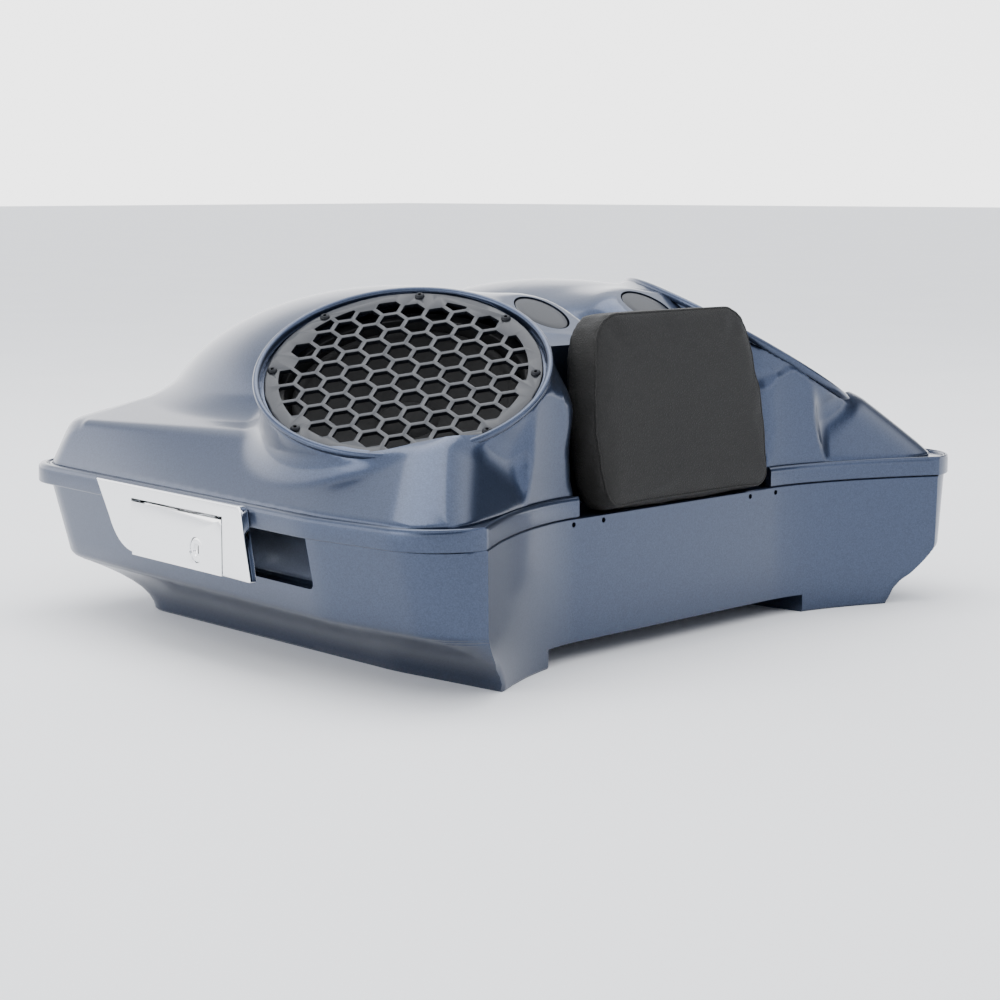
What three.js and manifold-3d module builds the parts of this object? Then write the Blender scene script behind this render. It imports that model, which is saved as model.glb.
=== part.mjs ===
// A touring trunk for a motorcycle rack: a moulded tub, a side-hinged lid with two
// speaker pods, a chrome paddle latch and a backrest pad carried by the tub.
// Millimetres, +Z up. X is across the trunk, -Y is the side of the backrest, and the
// origin is under the middle of the trunk on the surface that it stands on.
import * as THREE from 'three';
import { mergeVertices } from 'three/addons/utils/BufferGeometryUtils.js';
import Module from 'manifold-3d';

const wasm = await Module();
wasm.setup();

// Driving dimensions
const HALF_WIDTH = 318; // widest half width, at the shoulders of the rim
const REAR_HALF = 252; // half width at the rear corners
const REAR_Y = 263;
const NOSE_Y = -266;
const SHOULDER_Y = -140;
const FRONT_Y = -211; // flat middle of the front wall
const FRONT_FLAT_HALF = 118; // the front wall curves forward outside this
const FRONT_CREASE_HALF = 266;
const FRONT_CREASE_DEPTH = 53;
const FRONT_CURVE_POWER = 1.7;
const WALL = 4;
const GAP = 0.3;

const TUB_TOP_Z = 103.4;
const CREASE_Z = 45;
const RAISED_FLOOR_Z = 14;
const RUNNER_INNER_HALF = 153;
const FLOOR_TOP_Z = 18;
const LIP_TOP_Z = 109;
const LIP_INSET = 13;
const LIP_FRONT = 6;

const RIM_BOTTOM_Z = 103.7;
const RIM_TOP_Z = 119;
const RIM_WALL = 4.5;
const BODY_INSET = 9;
const RIDGE_REAR_Z = 152;
const RIDGE_FRONT_Z = 162;
const DECK_Z = 186;
const NOTCH_HALF = 113; // recess of the lid behind the backrest, narrower between the pods
const NOTCH_TOP_HALF = 103;
const NOTCH_Y = -167;

const RING = { x: 197, y: -116, z: 211.4, radius: 107, bore: 100, seat: 91 };
const RING_NORMAL = [0.4, -0.292, 0.869];
const RECESS_DEPTH = 5;
const GRILLE_THICK = 3;
const SEAT_THICK = 4;
const HEX_PITCH = 19.4;
const HEX_RIB = 3.2;
const HEX_TURN = -0.25; // the rows run a little askew of level
const HEX_START = [4.6, -12.7]; // a cell's centre, from the middle of the plate
const HEX_FIELD = 80;
const SCREW_CIRCLE = 94.5;
const SCREWS_PER_GRILLE = 8;

const LOBE = { x: 62, y: -128, z: 245, radius: 42, pocket: 22.5, pocketDepth: 8, fall: 0.22 };
const LOBE_SLOPE = Math.PI / 6;

const TAIL = { x: 88, y: -14, z: 134, across: 132, along: 256, up: 128, front: -84 };

const HINGE_OFFSET = 8; // hinge axis outside the rim
const HINGE_Z = 104;
const HINGE_STATIONS = [-25, 130];
const HINGE_LENGTH = 50;
const SIDE_SLOPE = (HALF_WIDTH - REAR_HALF) / (REAR_Y - SHOULDER_Y);

const PAD = { bottomZ: 108, height: 140, half: 101, topHalf: 88, foam: 29, lean: 0.149 };
const PAD_FACE_Y = -225;
const BOARD_THICK = 6;
const BRACKET_THICK = 3;

const LATCH_Y = -48.5;
const LATCH_PROUD = 6.5;

const group = new THREE.Group();

// ---- Solids and finishes ----------------------------------------------------------

function finish(color, roughness, metalness) {
  return { color, roughness, metalness };
}

const PAINT = finish(0x3d4d6b, 0.25, 0.55);
const CHROME = finish(0xe8ebee, 0.08, 1);
const STEEL = finish(0x9a9da0, 0.35, 0.9);
const BLACK_PLASTIC = finish(0x17181a, 0.6, 0);
const RUBBER = finish(0x1c1c1c, 0.85, 0);
const VINYL = finish(0x3f3d38, 0.7, 0);
const PAPER = finish(0x202226, 0.8, 0);

function solidOf(geometry) {
  const bare = geometry.clone();
  bare.deleteAttribute('normal');
  bare.deleteAttribute('uv');
  const merged = mergeVertices(bare, 1e-4);
  return new wasm.Manifold(new wasm.Mesh({
    numProp: 3,
    vertProperties: new Float32Array(merged.attributes.position.array),
    triVerts: new Uint32Array(merged.index.array),
  }));
}

function geometryOf(solid) {
  const mesh = solid.getMesh();
  const geometry = new THREE.BufferGeometry();
  geometry.setAttribute('position', new THREE.BufferAttribute(mesh.vertProperties, 3));
  geometry.setIndex(new THREE.BufferAttribute(mesh.triVerts, 1));
  return geometry;
}

function addPart(name, shape, look) {
  const geometry = shape.isBufferGeometry ? shape : geometryOf(shape);
  const mesh = new THREE.Mesh(geometry, new THREE.MeshStandardMaterial(look));
  mesh.name = name;
  group.add(mesh);
  return mesh;
}

// ---- Outlines ----------------------------------------------------------------------

function frontY(x) {
  const out = Math.max(0, Math.abs(x) - FRONT_FLAT_HALF) / (FRONT_CREASE_HALF - FRONT_FLAT_HALF);
  return FRONT_Y - FRONT_CREASE_DEPTH * out ** FRONT_CURVE_POWER;
}

function rimHalf(y) {
  return HALF_WIDTH - SIDE_SLOPE * Math.max(0, y - SHOULDER_Y);
}

// Points of an arc that rounds the corner between two straight lines.
function roundCorner(before, corner, after, radius, steps) {
  const a = before.clone().sub(corner).normalize();
  const b = after.clone().sub(corner).normalize();
  const half = Math.acos(THREE.MathUtils.clamp(a.dot(b), -1, 1)) / 2;
  const reach = radius / Math.tan(half);
  const centre = corner.clone().add(a.clone().add(b).normalize().multiplyScalar(radius / Math.sin(half)));
  const start = corner.clone().add(a.multiplyScalar(reach)).sub(centre);
  const end = corner.clone().add(b.multiplyScalar(reach)).sub(centre);
  const sweep = Math.atan2(start.cross(end), start.dot(end));
  return Array.from({ length: steps + 1 }, (_, i) =>
    start.clone().rotateAround(new THREE.Vector2(), (sweep * i) / steps).add(centre));
}

// One closed plan outline of the trunk, counterclockwise from the front middle.
function trunkOutline({ side, rearSide, rear, noseY = NOSE_Y, frontRadius = 48, rearRadius = 48 }) {
  const nose = new THREE.Vector2(0, noseY);
  const front = new THREE.Vector2(HALF_WIDTH - side, noseY);
  const shoulder = new THREE.Vector2(HALF_WIDTH - side, SHOULDER_Y);
  const tail = new THREE.Vector2(REAR_HALF - rearSide, REAR_Y - rear);
  const back = new THREE.Vector2(0, REAR_Y - rear + 3);
  const right = [
    ...roundCorner(nose, front, shoulder, frontRadius, 6),
    ...roundCorner(front, shoulder, tail, 160, 3),
    ...roundCorner(shoulder, tail, back, rearRadius, 6),
  ];
  const left = right.map((p) => new THREE.Vector2(-p.x, p.y)).reverse();
  return [...right, back, ...left];
}

// A solid through a stack of rings with equal numbers of points.
function loft(rings) {
  const count = rings[0].length;
  const positions = rings.flat().flatMap((p) => [p.x, p.y, p.z]);
  const index = [];
  for (let level = 0; level < rings.length - 1; level += 1) {
    for (let i = 0; i < count; i += 1) {
      const a = level * count + i;
      const b = level * count + ((i + 1) % count);
      index.push(a, b, b + count, a, b + count, a + count);
    }
  }
  const capOf = (ring) => THREE.ShapeUtils.triangulateShape(ring.map((p) => new THREE.Vector2(p.x, p.y)), []);
  const top = (rings.length - 1) * count;
  capOf(rings[0]).forEach(([a, b, c]) => index.push(a, c, b));
  capOf(rings.at(-1)).forEach(([a, b, c]) => index.push(top + a, top + b, top + c));
  const geometry = new THREE.BufferGeometry();
  geometry.setAttribute('position', new THREE.Float32BufferAttribute(positions, 3));
  geometry.setIndex(index);
  return solidOf(geometry);
}

function ringAt(z, section) {
  return trunkOutline(section).map((p) => new THREE.Vector3(p.x, p.y, z));
}

function inset(amount) {
  return { side: amount, rearSide: amount, rear: amount };
}

function prism(section, low, high) {
  return loft([ringAt(low, section), ringAt(high, section)]);
}

function extrude(shape, depth, placement = new THREE.Matrix4()) {
  const geometry = new THREE.ExtrudeGeometry(shape, { depth, bevelEnabled: false, curveSegments: 8 });
  return geometry.applyMatrix4(placement);
}

function boxSolid(low, high) {
  const size = new THREE.Vector3(...high).sub(new THREE.Vector3(...low));
  const geometry = new THREE.BoxGeometry(size.x, size.y, size.z);
  return solidOf(geometry.translate(low[0] + size.x / 2, low[1] + size.y / 2, low[2] + size.z / 2));
}

// Everything in front of the concave front wall, moved back by an offset.
function frontCutter(offset) {
  const reach = HALF_WIDTH + 40;
  const steps = 36;
  const curve = Array.from({ length: steps + 1 }, (_, i) => -reach + (2 * reach * i) / steps);
  const shape = new THREE.Shape(curve.map((x) => new THREE.Vector2(x, frontY(x) + offset)));
  shape.lineTo(reach, -700);
  shape.lineTo(-reach, -700);
  return solidOf(extrude(shape, 460, new THREE.Matrix4().makeTranslation(0, 0, -30)));
}

// The recess that the backrest stands in, grown by an offset.
function notchCutter(offset, low) {
  const wide = NOTCH_HALF + offset;
  const narrow = NOTCH_TOP_HALF + offset;
  const corners = [[-wide, low], [wide, low], [wide, 150], [narrow, 185], [narrow, 420], [-narrow, 420],
    [-narrow, 185], [-wide, 150]];
  const shape = new THREE.Shape(corners.map(([x, z]) => new THREE.Vector2(x, z)));
  const place = new THREE.Matrix4().makeRotationX(Math.PI / 2).setPosition(0, NOTCH_Y + offset, 0);
  return solidOf(extrude(shape, 300, place));
}

// ---- Tub ---------------------------------------------------------------------------

const TUB_LEVELS = [
  { z: 0, side: 86, rearSide: 62, rear: 74, frontRadius: 10, rearRadius: 30 },
  { z: 12, side: 80, rearSide: 57, rear: 68, frontRadius: 12, rearRadius: 32 },
  { z: 28, side: 62, rearSide: 46, rear: 54, frontRadius: 24, rearRadius: 36 },
  { z: CREASE_Z, side: 19, rearSide: 18, rear: 20, frontRadius: 40, rearRadius: 42 },
  { z: TUB_TOP_Z, side: 8, rearSide: 8, rear: 8, frontRadius: 45, rearRadius: 45 },
];

function thinner(level, wall) {
  return { ...level, side: level.side + wall, rearSide: level.rearSide + wall, rear: level.rear + wall };
}

function tubCavity() {
  const steps = TUB_LEVELS.slice(2).map((level) => ringAt(level.z + WALL / 2, thinner(level, WALL)));
  const floor = ringAt(FLOOR_TOP_Z, thinner(TUB_LEVELS[1], 2 * WALL));
  const main = loft([floor, ...steps.slice(0, 2), ringAt(TUB_TOP_Z - 5, thinner(TUB_LEVELS[4], 9))]);
  const mouth = prism(inset(LIP_INSET + WALL), TUB_TOP_Z - 6, LIP_TOP_Z + 20);
  return main.add(mouth).subtract(frontCutter(LIP_FRONT + WALL));
}

// Placement on the sloping left side: u runs rearwards along it, w out of it.
const SIDE_TANGENT = new THREE.Vector3(SIDE_SLOPE, 1, 0).normalize();
const SIDE_NORMAL = new THREE.Vector3(-SIDE_TANGENT.y, SIDE_TANGENT.x, 0);

function sideFrame(u, z, w) {
  const base = new THREE.Vector3(-rimHalf(LATCH_Y) - LATCH_PROUD, LATCH_Y, 0);
  base.addScaledVector(SIDE_TANGENT, u).addScaledVector(SIDE_NORMAL, w);
  base.z = z;
  const up = new THREE.Vector3(0, 0, 1);
  const frame = new THREE.Matrix4().makeBasis(SIDE_TANGENT.clone().negate(), up, SIDE_NORMAL);
  return frame.setPosition(base);
}

// A box on the left side, from u, z and w limits.
function sideBox([u0, u1], [z0, z1], [w0, w1]) {
  const geometry = new THREE.BoxGeometry(u1 - u0, z1 - z0, w1 - w0);
  return geometry.applyMatrix4(sideFrame((u0 + u1) / 2, (z0 + z1) / 2, (w0 + w1) / 2));
}

const RECESS = { u: [-104, 142], z: [66, 130], w: [-33, 30] };

function recessSolid(grow) {
  return solidOf(sideBox(
    [RECESS.u[0] - grow, RECESS.u[1] + grow],
    [RECESS.z[0] - grow, RECESS.z[1]],
    [RECESS.w[0] - grow, RECESS.w[1]],
  ));
}

const BOLT_SPOTS = [[-90, -70], [90, -70], [-90, 90], [90, 90]];
const BOLT_RADIUS = 4;
const FRONT_HOLES = [-121, -88, 88, 121];

function postAt(x, y, low, high, radius, sides = 12) {
  const geometry = new THREE.CylinderGeometry(radius, radius, high - low, sides);
  return geometry.rotateX(Math.PI / 2).translate(x, y, (low + high) / 2);
}

function frontHole(x) {
  const geometry = new THREE.CylinderGeometry(2, 2, 40, 10);
  return solidOf(geometry.translate(x, FRONT_Y, 99));
}

function makeTub() {
  const outer = loft(TUB_LEVELS.map((level) => ringAt(level.z, level))).subtract(frontCutter(0));
  const lip = prism(inset(LIP_INSET), TUB_TOP_Z - 6, LIP_TOP_Z)
    .subtract(frontCutter(LIP_FRONT))
    .subtract(notchCutter(LIP_FRONT, TUB_TOP_Z));
  const shelf = boxSolid([-NOTCH_HALF - 8, FRONT_Y + 2, 96], [NOTCH_HALF + 8, NOTCH_Y + 10, TUB_TOP_Z])
    .add(boxSolid([-NOTCH_HALF - 10, NOTCH_Y + 6, 92], [NOTCH_HALF + 10, NOTCH_Y + 10, LIP_TOP_Z]))
    .add(boxSolid([-NOTCH_HALF - 10, FRONT_Y + 8, 92], [-NOTCH_HALF - 6, NOTCH_Y + 10, LIP_TOP_Z]))
    .add(boxSolid([NOTCH_HALF + 6, FRONT_Y + 8, 92], [NOTCH_HALF + 10, NOTCH_Y + 10, LIP_TOP_Z]));
  const underside = boxSolid([-RUNNER_INNER_HALF, -400, -10], [RUNNER_INNER_HALF, 400, RAISED_FLOOR_Z]);
  let tub = outer.add(lip).subtract(tubCavity().subtract(recessSolid(WALL)));
  const recessWall = recessSolid(WALL).intersect(prism(inset(LIP_INSET), 90, LIP_TOP_Z));
  tub = tub.add(shelf).add(recessWall).subtract(underside).subtract(recessSolid(0));
  for (const [x, y] of BOLT_SPOTS) {
    tub = tub.subtract(solidOf(postAt(x, y, 0, FLOOR_TOP_Z + 10, BOLT_RADIUS + 0.5)));
  }
  for (const x of FRONT_HOLES) {
    tub = tub.subtract(frontHole(x));
  }
  return tub;
}

addPart('tub_shell', makeTub(), PAINT);

// ---- Lid ---------------------------------------------------------------------------

// A turned solid from its [radius, height] profile, given in either direction.
function turned(profile, segments) {
  const points = profile.map(([r, h]) => new THREE.Vector2(r, h));
  if (THREE.ShapeUtils.area(points) < 0) points.reverse();
  return new THREE.LatheGeometry(points, segments);
}

function lathe(profile, centre, normal, segments = 32) {
  const geometry = turned(profile, segments);
  const turn = new THREE.Quaternion().setFromUnitVectors(new THREE.Vector3(0, 1, 0), normal);
  return geometry.applyQuaternion(turn).translate(centre.x, centre.y, centre.z);
}

function podCentre(side) {
  return new THREE.Vector3(side * RING.x, RING.y, RING.z);
}

function podNormal(side) {
  const [x, y, z] = RING_NORMAL;
  return new THREE.Vector3(side * x, y, z).normalize();
}

function podSolid(side, profile, segments = 32) {
  return solidOf(lathe(profile, podCentre(side), podNormal(side), segments));
}

// The ridge leans inwards towards the pods and rises a little.
function ridgeRing(drop, wall) {
  const outline = trunkOutline({
    side: 58 + wall, rearSide: 19 + wall, rear: 19 + wall, frontRadius: 40, rearRadius: 40,
  });
  return outline.map((p) => {
    const along = THREE.MathUtils.clamp((REAR_Y - p.y) / (REAR_Y + 6), 0, 1);
    return new THREE.Vector3(p.x, p.y, THREE.MathUtils.lerp(RIDGE_REAR_Z, RIDGE_FRONT_Z, along) - drop);
  });
}

function lidBody(wall, low) {
  const section = { side: 210 + wall, rearSide: 150 + wall, rear: 110, frontRadius: 30, rearRadius: 30 };
  const deck = trunkOutline(section);
  const crown = deck.map((p) => new THREE.Vector3(p.x, p.y, DECK_Z - wall));
  return loft([ringAt(low, inset(BODY_INSET + wall)), ridgeRing(wall, wall), crown]);
}

// The two raised backs that fall away behind the pods, with a valley between them.
function lidTail(wall) {
  const front = boxSolid([-400, -600, 0], [400, TAIL.front + wall, 400]);
  const [left, right] = [-1, 1].map((side) => {
    const tail = new THREE.SphereGeometry(1, 22, 12).rotateX(Math.PI / 2);
    tail.scale(TAIL.across - wall, TAIL.along - wall, TAIL.up - wall);
    return solidOf(tail.translate(side * TAIL.x, TAIL.y, TAIL.z));
  });
  return left.add(right).subtract(front);
}

function lobeCylinder(side, radius, low, high, segments = 28) {
  const axis = new THREE.Vector3(0, -Math.sin(LOBE_SLOPE), Math.cos(LOBE_SLOPE));
  const centre = new THREE.Vector3(side * LOBE.x, LOBE.y, LOBE.z);
  return solidOf(lathe([[0, low], [radius, low], [radius, high], [0, high]], centre, axis, segments));
}

// A hump: a round pad that faces forwards and up, drawn out level towards the rear.
function lidLobe(side, wall) {
  const steps = 8;
  const back = [];
  for (let i = 0; i <= steps; i += 1) {
    const turn = (Math.PI * i) / steps;
    back.push(new THREE.Vector2((LOBE.radius - wall) * Math.cos(turn), 26 * Math.sin(turn)));
  }
  back.push(new THREE.Vector2(-LOBE.radius + wall, -100), new THREE.Vector2(LOBE.radius - wall, -100));
  const top = LOBE.z + LOBE.radius * Math.sin(LOBE_SLOPE) - 27 - wall;
  const fall = new THREE.Matrix4().makeShear(0, 0, 0, -LOBE.fall, 0, 0).setPosition(0, 0, LOBE.fall * LOBE.y);
  const place = new THREE.Matrix4().makeRotationX(Math.PI / 2).setPosition(side * LOBE.x, 110, top);
  const run = solidOf(extrude(new THREE.Shape(back), 300, fall.multiply(place)));
  const slope = new THREE.BoxGeometry(400, 400, 300).translate(0, 0, 150 - wall).rotateX(LOBE_SLOPE);
  return run.subtract(solidOf(slope.translate(0, LOBE.y, LOBE.z)));
}

function frontStep(wall) {
  return boxSolid([-112 + wall, NOTCH_Y - 2, 110], [112 - wall, -60, 224 - wall]);
}

function lidOuter() {
  const reach = prism(inset(BODY_INSET), RIM_TOP_Z - 4, 400).subtract(frontCutter(5));
  let outer = lidBody(0, RIM_TOP_Z - 4).add(lidTail(0));
  for (const side of [-1, 1]) {
    outer = outer.add(podSolid(side, [
      [0, 0], [RING.radius - 1.5, 0], [RING.radius, -1.5], [RING.radius, -7], [RING.radius - 2, -10],
      [RING.radius - 1, -35], [RING.radius + 6, -62], [RING.radius + 24, -88], [RING.radius + 60, -112],
      [0, -112],
    ], 40));
    outer = outer.add(lidLobe(side, 0));
  }
  outer = outer.add(frontStep(0)).intersect(reach);
  return outer.add(prism(inset(0), RIM_BOTTOM_Z, RIM_TOP_Z).subtract(frontCutter(0)));
}

function lidInner() {
  const wall = WALL;
  const reach = prism(inset(BODY_INSET + wall), RIM_BOTTOM_Z - 5, 400).subtract(frontCutter(5 + wall));
  let inner = lidBody(wall, RIM_BOTTOM_Z - 5).add(lidTail(wall + 3));
  for (const side of [-1, 1]) {
    inner = inner.add(podSolid(side, [
      [0, -16], [99, -16], [99, -40], [RING.radius + 1, -64], [RING.radius + 18, -90], [RING.radius + 50, -110],
      [0, -110],
    ]));
    inner = inner.add(lidLobe(side, 12));
  }
  inner = inner.add(frontStep(wall)).intersect(reach);
  const rim = prism(inset(RIM_WALL), RIM_BOTTOM_Z - 5, RIM_TOP_Z - 4.5).subtract(frontCutter(RIM_WALL + 0.5));
  return inner.add(rim).subtract(notchCutter(wall, RIM_BOTTOM_Z - 20));
}

function makeLid() {
  let lid = lidOuter().subtract(notchCutter(0, RIM_BOTTOM_Z - 20)).subtract(lidInner());
  for (const side of [-1, 1]) {
    const seat = RECESS_DEPTH + GRILLE_THICK + GAP;
    lid = lid.subtract(podSolid(side, [
      [0, 40], [RING.bore, 40], [RING.bore, -seat], [RING.seat, -seat], [RING.seat, -24], [0, -24],
    ], 40));
    lid = lid.subtract(lobeCylinder(side, LOBE.pocket, -LOBE.pocketDepth, 60));
  }
  return lid;
}

addPart('lid_shell', makeLid(), PAINT);

// ---- Speakers ----------------------------------------------------------------------

// Centres of the hexagonal holes of a grille, in its own plane.
function hexCentres() {
  const rows = Math.ceil(HEX_FIELD / (HEX_PITCH * Math.sqrt(0.75))) + 1;
  const spots = [];
  for (let row = -rows; row <= rows; row += 1) {
    for (let column = -rows; column <= rows; column += 1) {
      const x = (column + (row % 2 ? 0.5 : 0)) * HEX_PITCH;
      const y = row * HEX_PITCH * Math.sqrt(0.75);
      const spot = new THREE.Vector2(x, y).rotateAround(new THREE.Vector2(), HEX_TURN);
      spot.add(new THREE.Vector2(...HEX_START));
      if (spot.length() <= HEX_FIELD) spots.push(spot.toArray());
    }
  }
  return spots;
}

function polygonHole(x, y, radius, sides, turn = 0) {
  const path = new THREE.Path();
  path.setFromPoints(Array.from({ length: sides }, (_, i) => {
    const angle = turn + (2 * Math.PI * i) / sides;
    return new THREE.Vector2(x + radius * Math.cos(angle), y + radius * Math.sin(angle));
  }));
  return path;
}

function discShape(radius, segments) {
  return new THREE.Shape(polygonHole(0, 0, radius, segments).getPoints());
}

// The frame of a pod: its x runs level, its y up the slope and its z along the normal.
function podFrame(side, height) {
  const normal = podNormal(side);
  const level = new THREE.Vector3(0, 0, 1).cross(normal).normalize();
  const up = normal.clone().cross(level);
  const frame = new THREE.Matrix4().makeBasis(level, up, normal);
  return frame.setPosition(podCentre(side).addScaledVector(normal, height));
}

function screwSpots() {
  return Array.from({ length: SCREWS_PER_GRILLE }, (_, i) => {
    const angle = (2 * Math.PI * i) / SCREWS_PER_GRILLE;
    return [SCREW_CIRCLE * Math.cos(angle), SCREW_CIRCLE * Math.sin(angle)];
  });
}

function makeGrille(side) {
  const plate = discShape(RING.bore - 0.6, 40);
  const cell = (HEX_PITCH - HEX_RIB) / Math.sqrt(3);
  for (const [x, y] of hexCentres()) {
    plate.holes.push(polygonHole(x, y, cell, 6, Math.PI / 6 + HEX_TURN));
  }
  for (const [x, y] of screwSpots()) {
    plate.holes.push(polygonHole(x, y, 2.4, 8));
  }
  return extrude(plate, GRILLE_THICK, podFrame(side, -RECESS_DEPTH - GRILLE_THICK));
}

function makeScrew(side, [x, y]) {
  const profile = [[0, -GRILLE_THICK], [2, -GRILLE_THICK], [2, GAP], [3.8, GAP], [3.4, 2], [0, 2]];
  const screw = turned(profile, 7).rotateX(Math.PI / 2).translate(x, y, 0);
  return screw.applyMatrix4(podFrame(side, -RECESS_DEPTH));
}

const CONE_TRAVEL = 4;

function makeSpeakerFrame(side) {
  return lathe([
    [0, -84], [44, -84], [45, -82], [45, -64], [60, -60], [88, -30], [95, -19.5], [95, -16.6], [86, -16.6],
    [84, -30], [56, -56], [30, -58], [0, -58],
  ], podCentre(side), podNormal(side), 20);
}

function makeCone(side) {
  return lathe([
    [0, -45], [24, -45], [28, -44.5], [74, -26], [79, -21], [82, -26], [80, -28.5], [76, -29.5],
    [30, -48], [20, -49], [0, -49],
  ], podCentre(side), podNormal(side), 20);
}

const SIDES = { left: -1, right: 1 };
for (const [name, side] of Object.entries(SIDES)) {
  addPart(`grille_${name}`, makeGrille(side), PAINT);
  screwSpots().forEach((spot, i) => {
    addPart(`grille_screw_${name}_${i + 1}`, makeScrew(side, spot), STEEL);
  });
  addPart(`speaker_frame_${name}`, makeSpeakerFrame(side), BLACK_PLASTIC);
  addPart(`speaker_cone_${name}`, makeCone(side), PAPER);
  addPart(`blanking_plug_${name}`, lobeCylinder(side, LOBE.pocket - 1, -LOBE.pocketDepth + GAP, -1.5), PAINT);
}

// ---- Backrest ----------------------------------------------------------------------

// Lean of the backrest: its frame has x across, y up the pad and z forwards.
function padFrame(depth) {
  const up = new THREE.Vector3(0, PAD.lean, 1).normalize();
  const forward = new THREE.Vector3(1, 0, 0).cross(up).normalize();
  const base = new THREE.Vector3(0, PAD_FACE_Y, PAD.bottomZ).addScaledVector(forward, -depth);
  return new THREE.Matrix4().makeBasis(new THREE.Vector3(1, 0, 0), up, forward).setPosition(base);
}

function padOutline(shrink) {
  const corner = (x, y) => new THREE.Vector2(x, y);
  const bottom = corner(0, shrink);
  const low = corner(PAD.half - 6 - shrink, shrink);
  const waist = corner(PAD.half - shrink, PAD.height * 0.42);
  const high = corner(PAD.topHalf - shrink, PAD.height - shrink);
  const top = corner(0, PAD.height - shrink);
  const right = [
    ...roundCorner(bottom, low, waist, 16, 4),
    ...roundCorner(low, waist, high, 120, 3),
    ...roundCorner(waist, high, top, 30, 6),
  ];
  return new THREE.Shape([...right, ...right.map((p) => corner(-p.x, p.y)).reverse()]);
}

addPart('backrest_pad', extrude(padOutline(0), PAD.foam, padFrame(PAD.foam)), VINYL);
const boardDepth = PAD.foam + GAP + BOARD_THICK;
addPart('backrest_board', extrude(padOutline(5), BOARD_THICK, padFrame(boardDepth)), BLACK_PLASTIC);

const BRACKET = { half: 45, low: 2.4, foot: 17, height: 95, boltY: 60, boltX: 28 };
const bracketDepth = boardDepth + GAP + BRACKET_THICK;

function makeBracket() {
  const upright = new THREE.Shape();
  upright.moveTo(-BRACKET.half, BRACKET.low);
  upright.lineTo(BRACKET.half, BRACKET.low);
  upright.lineTo(BRACKET.half, BRACKET.height);
  upright.lineTo(-BRACKET.half, BRACKET.height);
  for (const x of [-BRACKET.boltX, BRACKET.boltX]) {
    upright.holes.push(polygonHole(x, BRACKET.boltY, 3.4, 10));
  }
  const plate = solidOf(extrude(upright, BRACKET_THICK, padFrame(bracketDepth)));
  const backY = PAD_FACE_Y + bracketDepth;
  const low = TUB_TOP_Z + GAP;
  const foot = boxSolid([-BRACKET.half, backY - 4, low], [BRACKET.half, backY + BRACKET.foot, low + BRACKET_THICK]);
  return plate.add(foot);
}

addPart('backrest_bracket', makeBracket(), STEEL);

[-1, 1].forEach((side, i) => {
  const bolt = [[0, -4], [6, -4], [6, -GAP], [3, -GAP], [3, 3.2], [0, 3.2]];
  const geometry = turned(bolt, 10).rotateX(Math.PI / 2).translate(side * BRACKET.boltX, BRACKET.boltY, 0);
  addPart(`backrest_bolt_${i + 1}`, geometry.applyMatrix4(padFrame(bracketDepth)), STEEL);
});

// ---- Tub fittings ------------------------------------------------------------------

const PLATE = { half: 115, low: -95, high: 115, z: 10.7, thick: 3 };
const MAT_Z = FLOOR_TOP_Z + GAP;
const MAT_THICK = 3;
const BOLT_HEAD = 7;

function drilled(solid, radius, low, high) {
  return BOLT_SPOTS.reduce((rest, [x, y]) => rest.subtract(solidOf(postAt(x, y, low, high, radius))), solid);
}

const plateSolid = boxSolid([-PLATE.half, PLATE.low, PLATE.z], [PLATE.half, PLATE.high, PLATE.z + PLATE.thick]);
addPart('mount_plate', drilled(plateSolid, BOLT_RADIUS + GAP, 0, 20), STEEL);

const matSection = { side: 96, rearSide: 74, rear: 86, frontRadius: 16, rearRadius: 30 };
const matSolid = loft([ringAt(MAT_Z, matSection), ringAt(MAT_Z + MAT_THICK, matSection)])
  .subtract(frontCutter(LIP_FRONT + WALL + 3));
addPart('floor_mat', drilled(matSolid, BOLT_HEAD + 1.5, MAT_Z - 5, MAT_Z + 10), RUBBER);

BOLT_SPOTS.forEach(([x, y], i) => {
  const bolt = turned([
    [0, 3], [BOLT_RADIUS, 3], [BOLT_RADIUS, MAT_Z], [BOLT_HEAD, MAT_Z], [BOLT_HEAD - 1, MAT_Z + 4],
    [0, MAT_Z + 4],
  ], 12);
  addPart(`mount_bolt_${i + 1}`, bolt.rotateX(Math.PI / 2).translate(x, y, 0), STEEL);
  const nut = solidOf(postAt(x, y, PLATE.z - GAP - 5, PLATE.z - GAP, 6.5, 6));
  addPart(`mount_nut_${i + 1}`, nut.subtract(solidOf(postAt(x, y, 0, 20, BOLT_RADIUS + GAP))), STEEL);
});

function sealLoop(grow, low, high) {
  return prism(inset(LIP_INSET + grow), low, high)
    .subtract(frontCutter(LIP_FRONT + grow))
    .subtract(notchCutter(LIP_FRONT + grow, low - 10))
    .subtract(recessSolid(grow));
}

const sealLow = LIP_TOP_Z + GAP;
const seal = sealLoop(0.5, sealLow, sealLow + 3.5).subtract(sealLoop(WALL - 0.5, sealLow - 1, sealLow + 5));
addPart('tub_seal', seal, RUBBER);

// ---- Hinges ------------------------------------------------------------------------

const HINGE = { pin: 2.2, bore: 2.5, barrel: 4.2, knuckle: 17, leaf: 2.5 };
const HINGE_TANGENT = new THREE.Vector3(-SIDE_SLOPE, 1, 0).normalize();
const HINGE_NORMAL = new THREE.Vector3(HINGE_TANGENT.y, -HINGE_TANGENT.x, 0);

// At a station: x points out of the side, y rearwards along the axis, z up.
function hingeFrame(y) {
  const frame = new THREE.Matrix4().makeBasis(HINGE_NORMAL, HINGE_TANGENT, new THREE.Vector3(0, 0, 1));
  const base = new THREE.Vector3(rimHalf(y), y, HINGE_Z).addScaledVector(HINGE_NORMAL, HINGE_OFFSET);
  return frame.setPosition(base);
}

function barrelPiece(radius, from, to) {
  return new THREE.CylinderGeometry(radius, radius, to - from, 12).translate(0, (from + to) / 2, 0);
}

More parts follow.
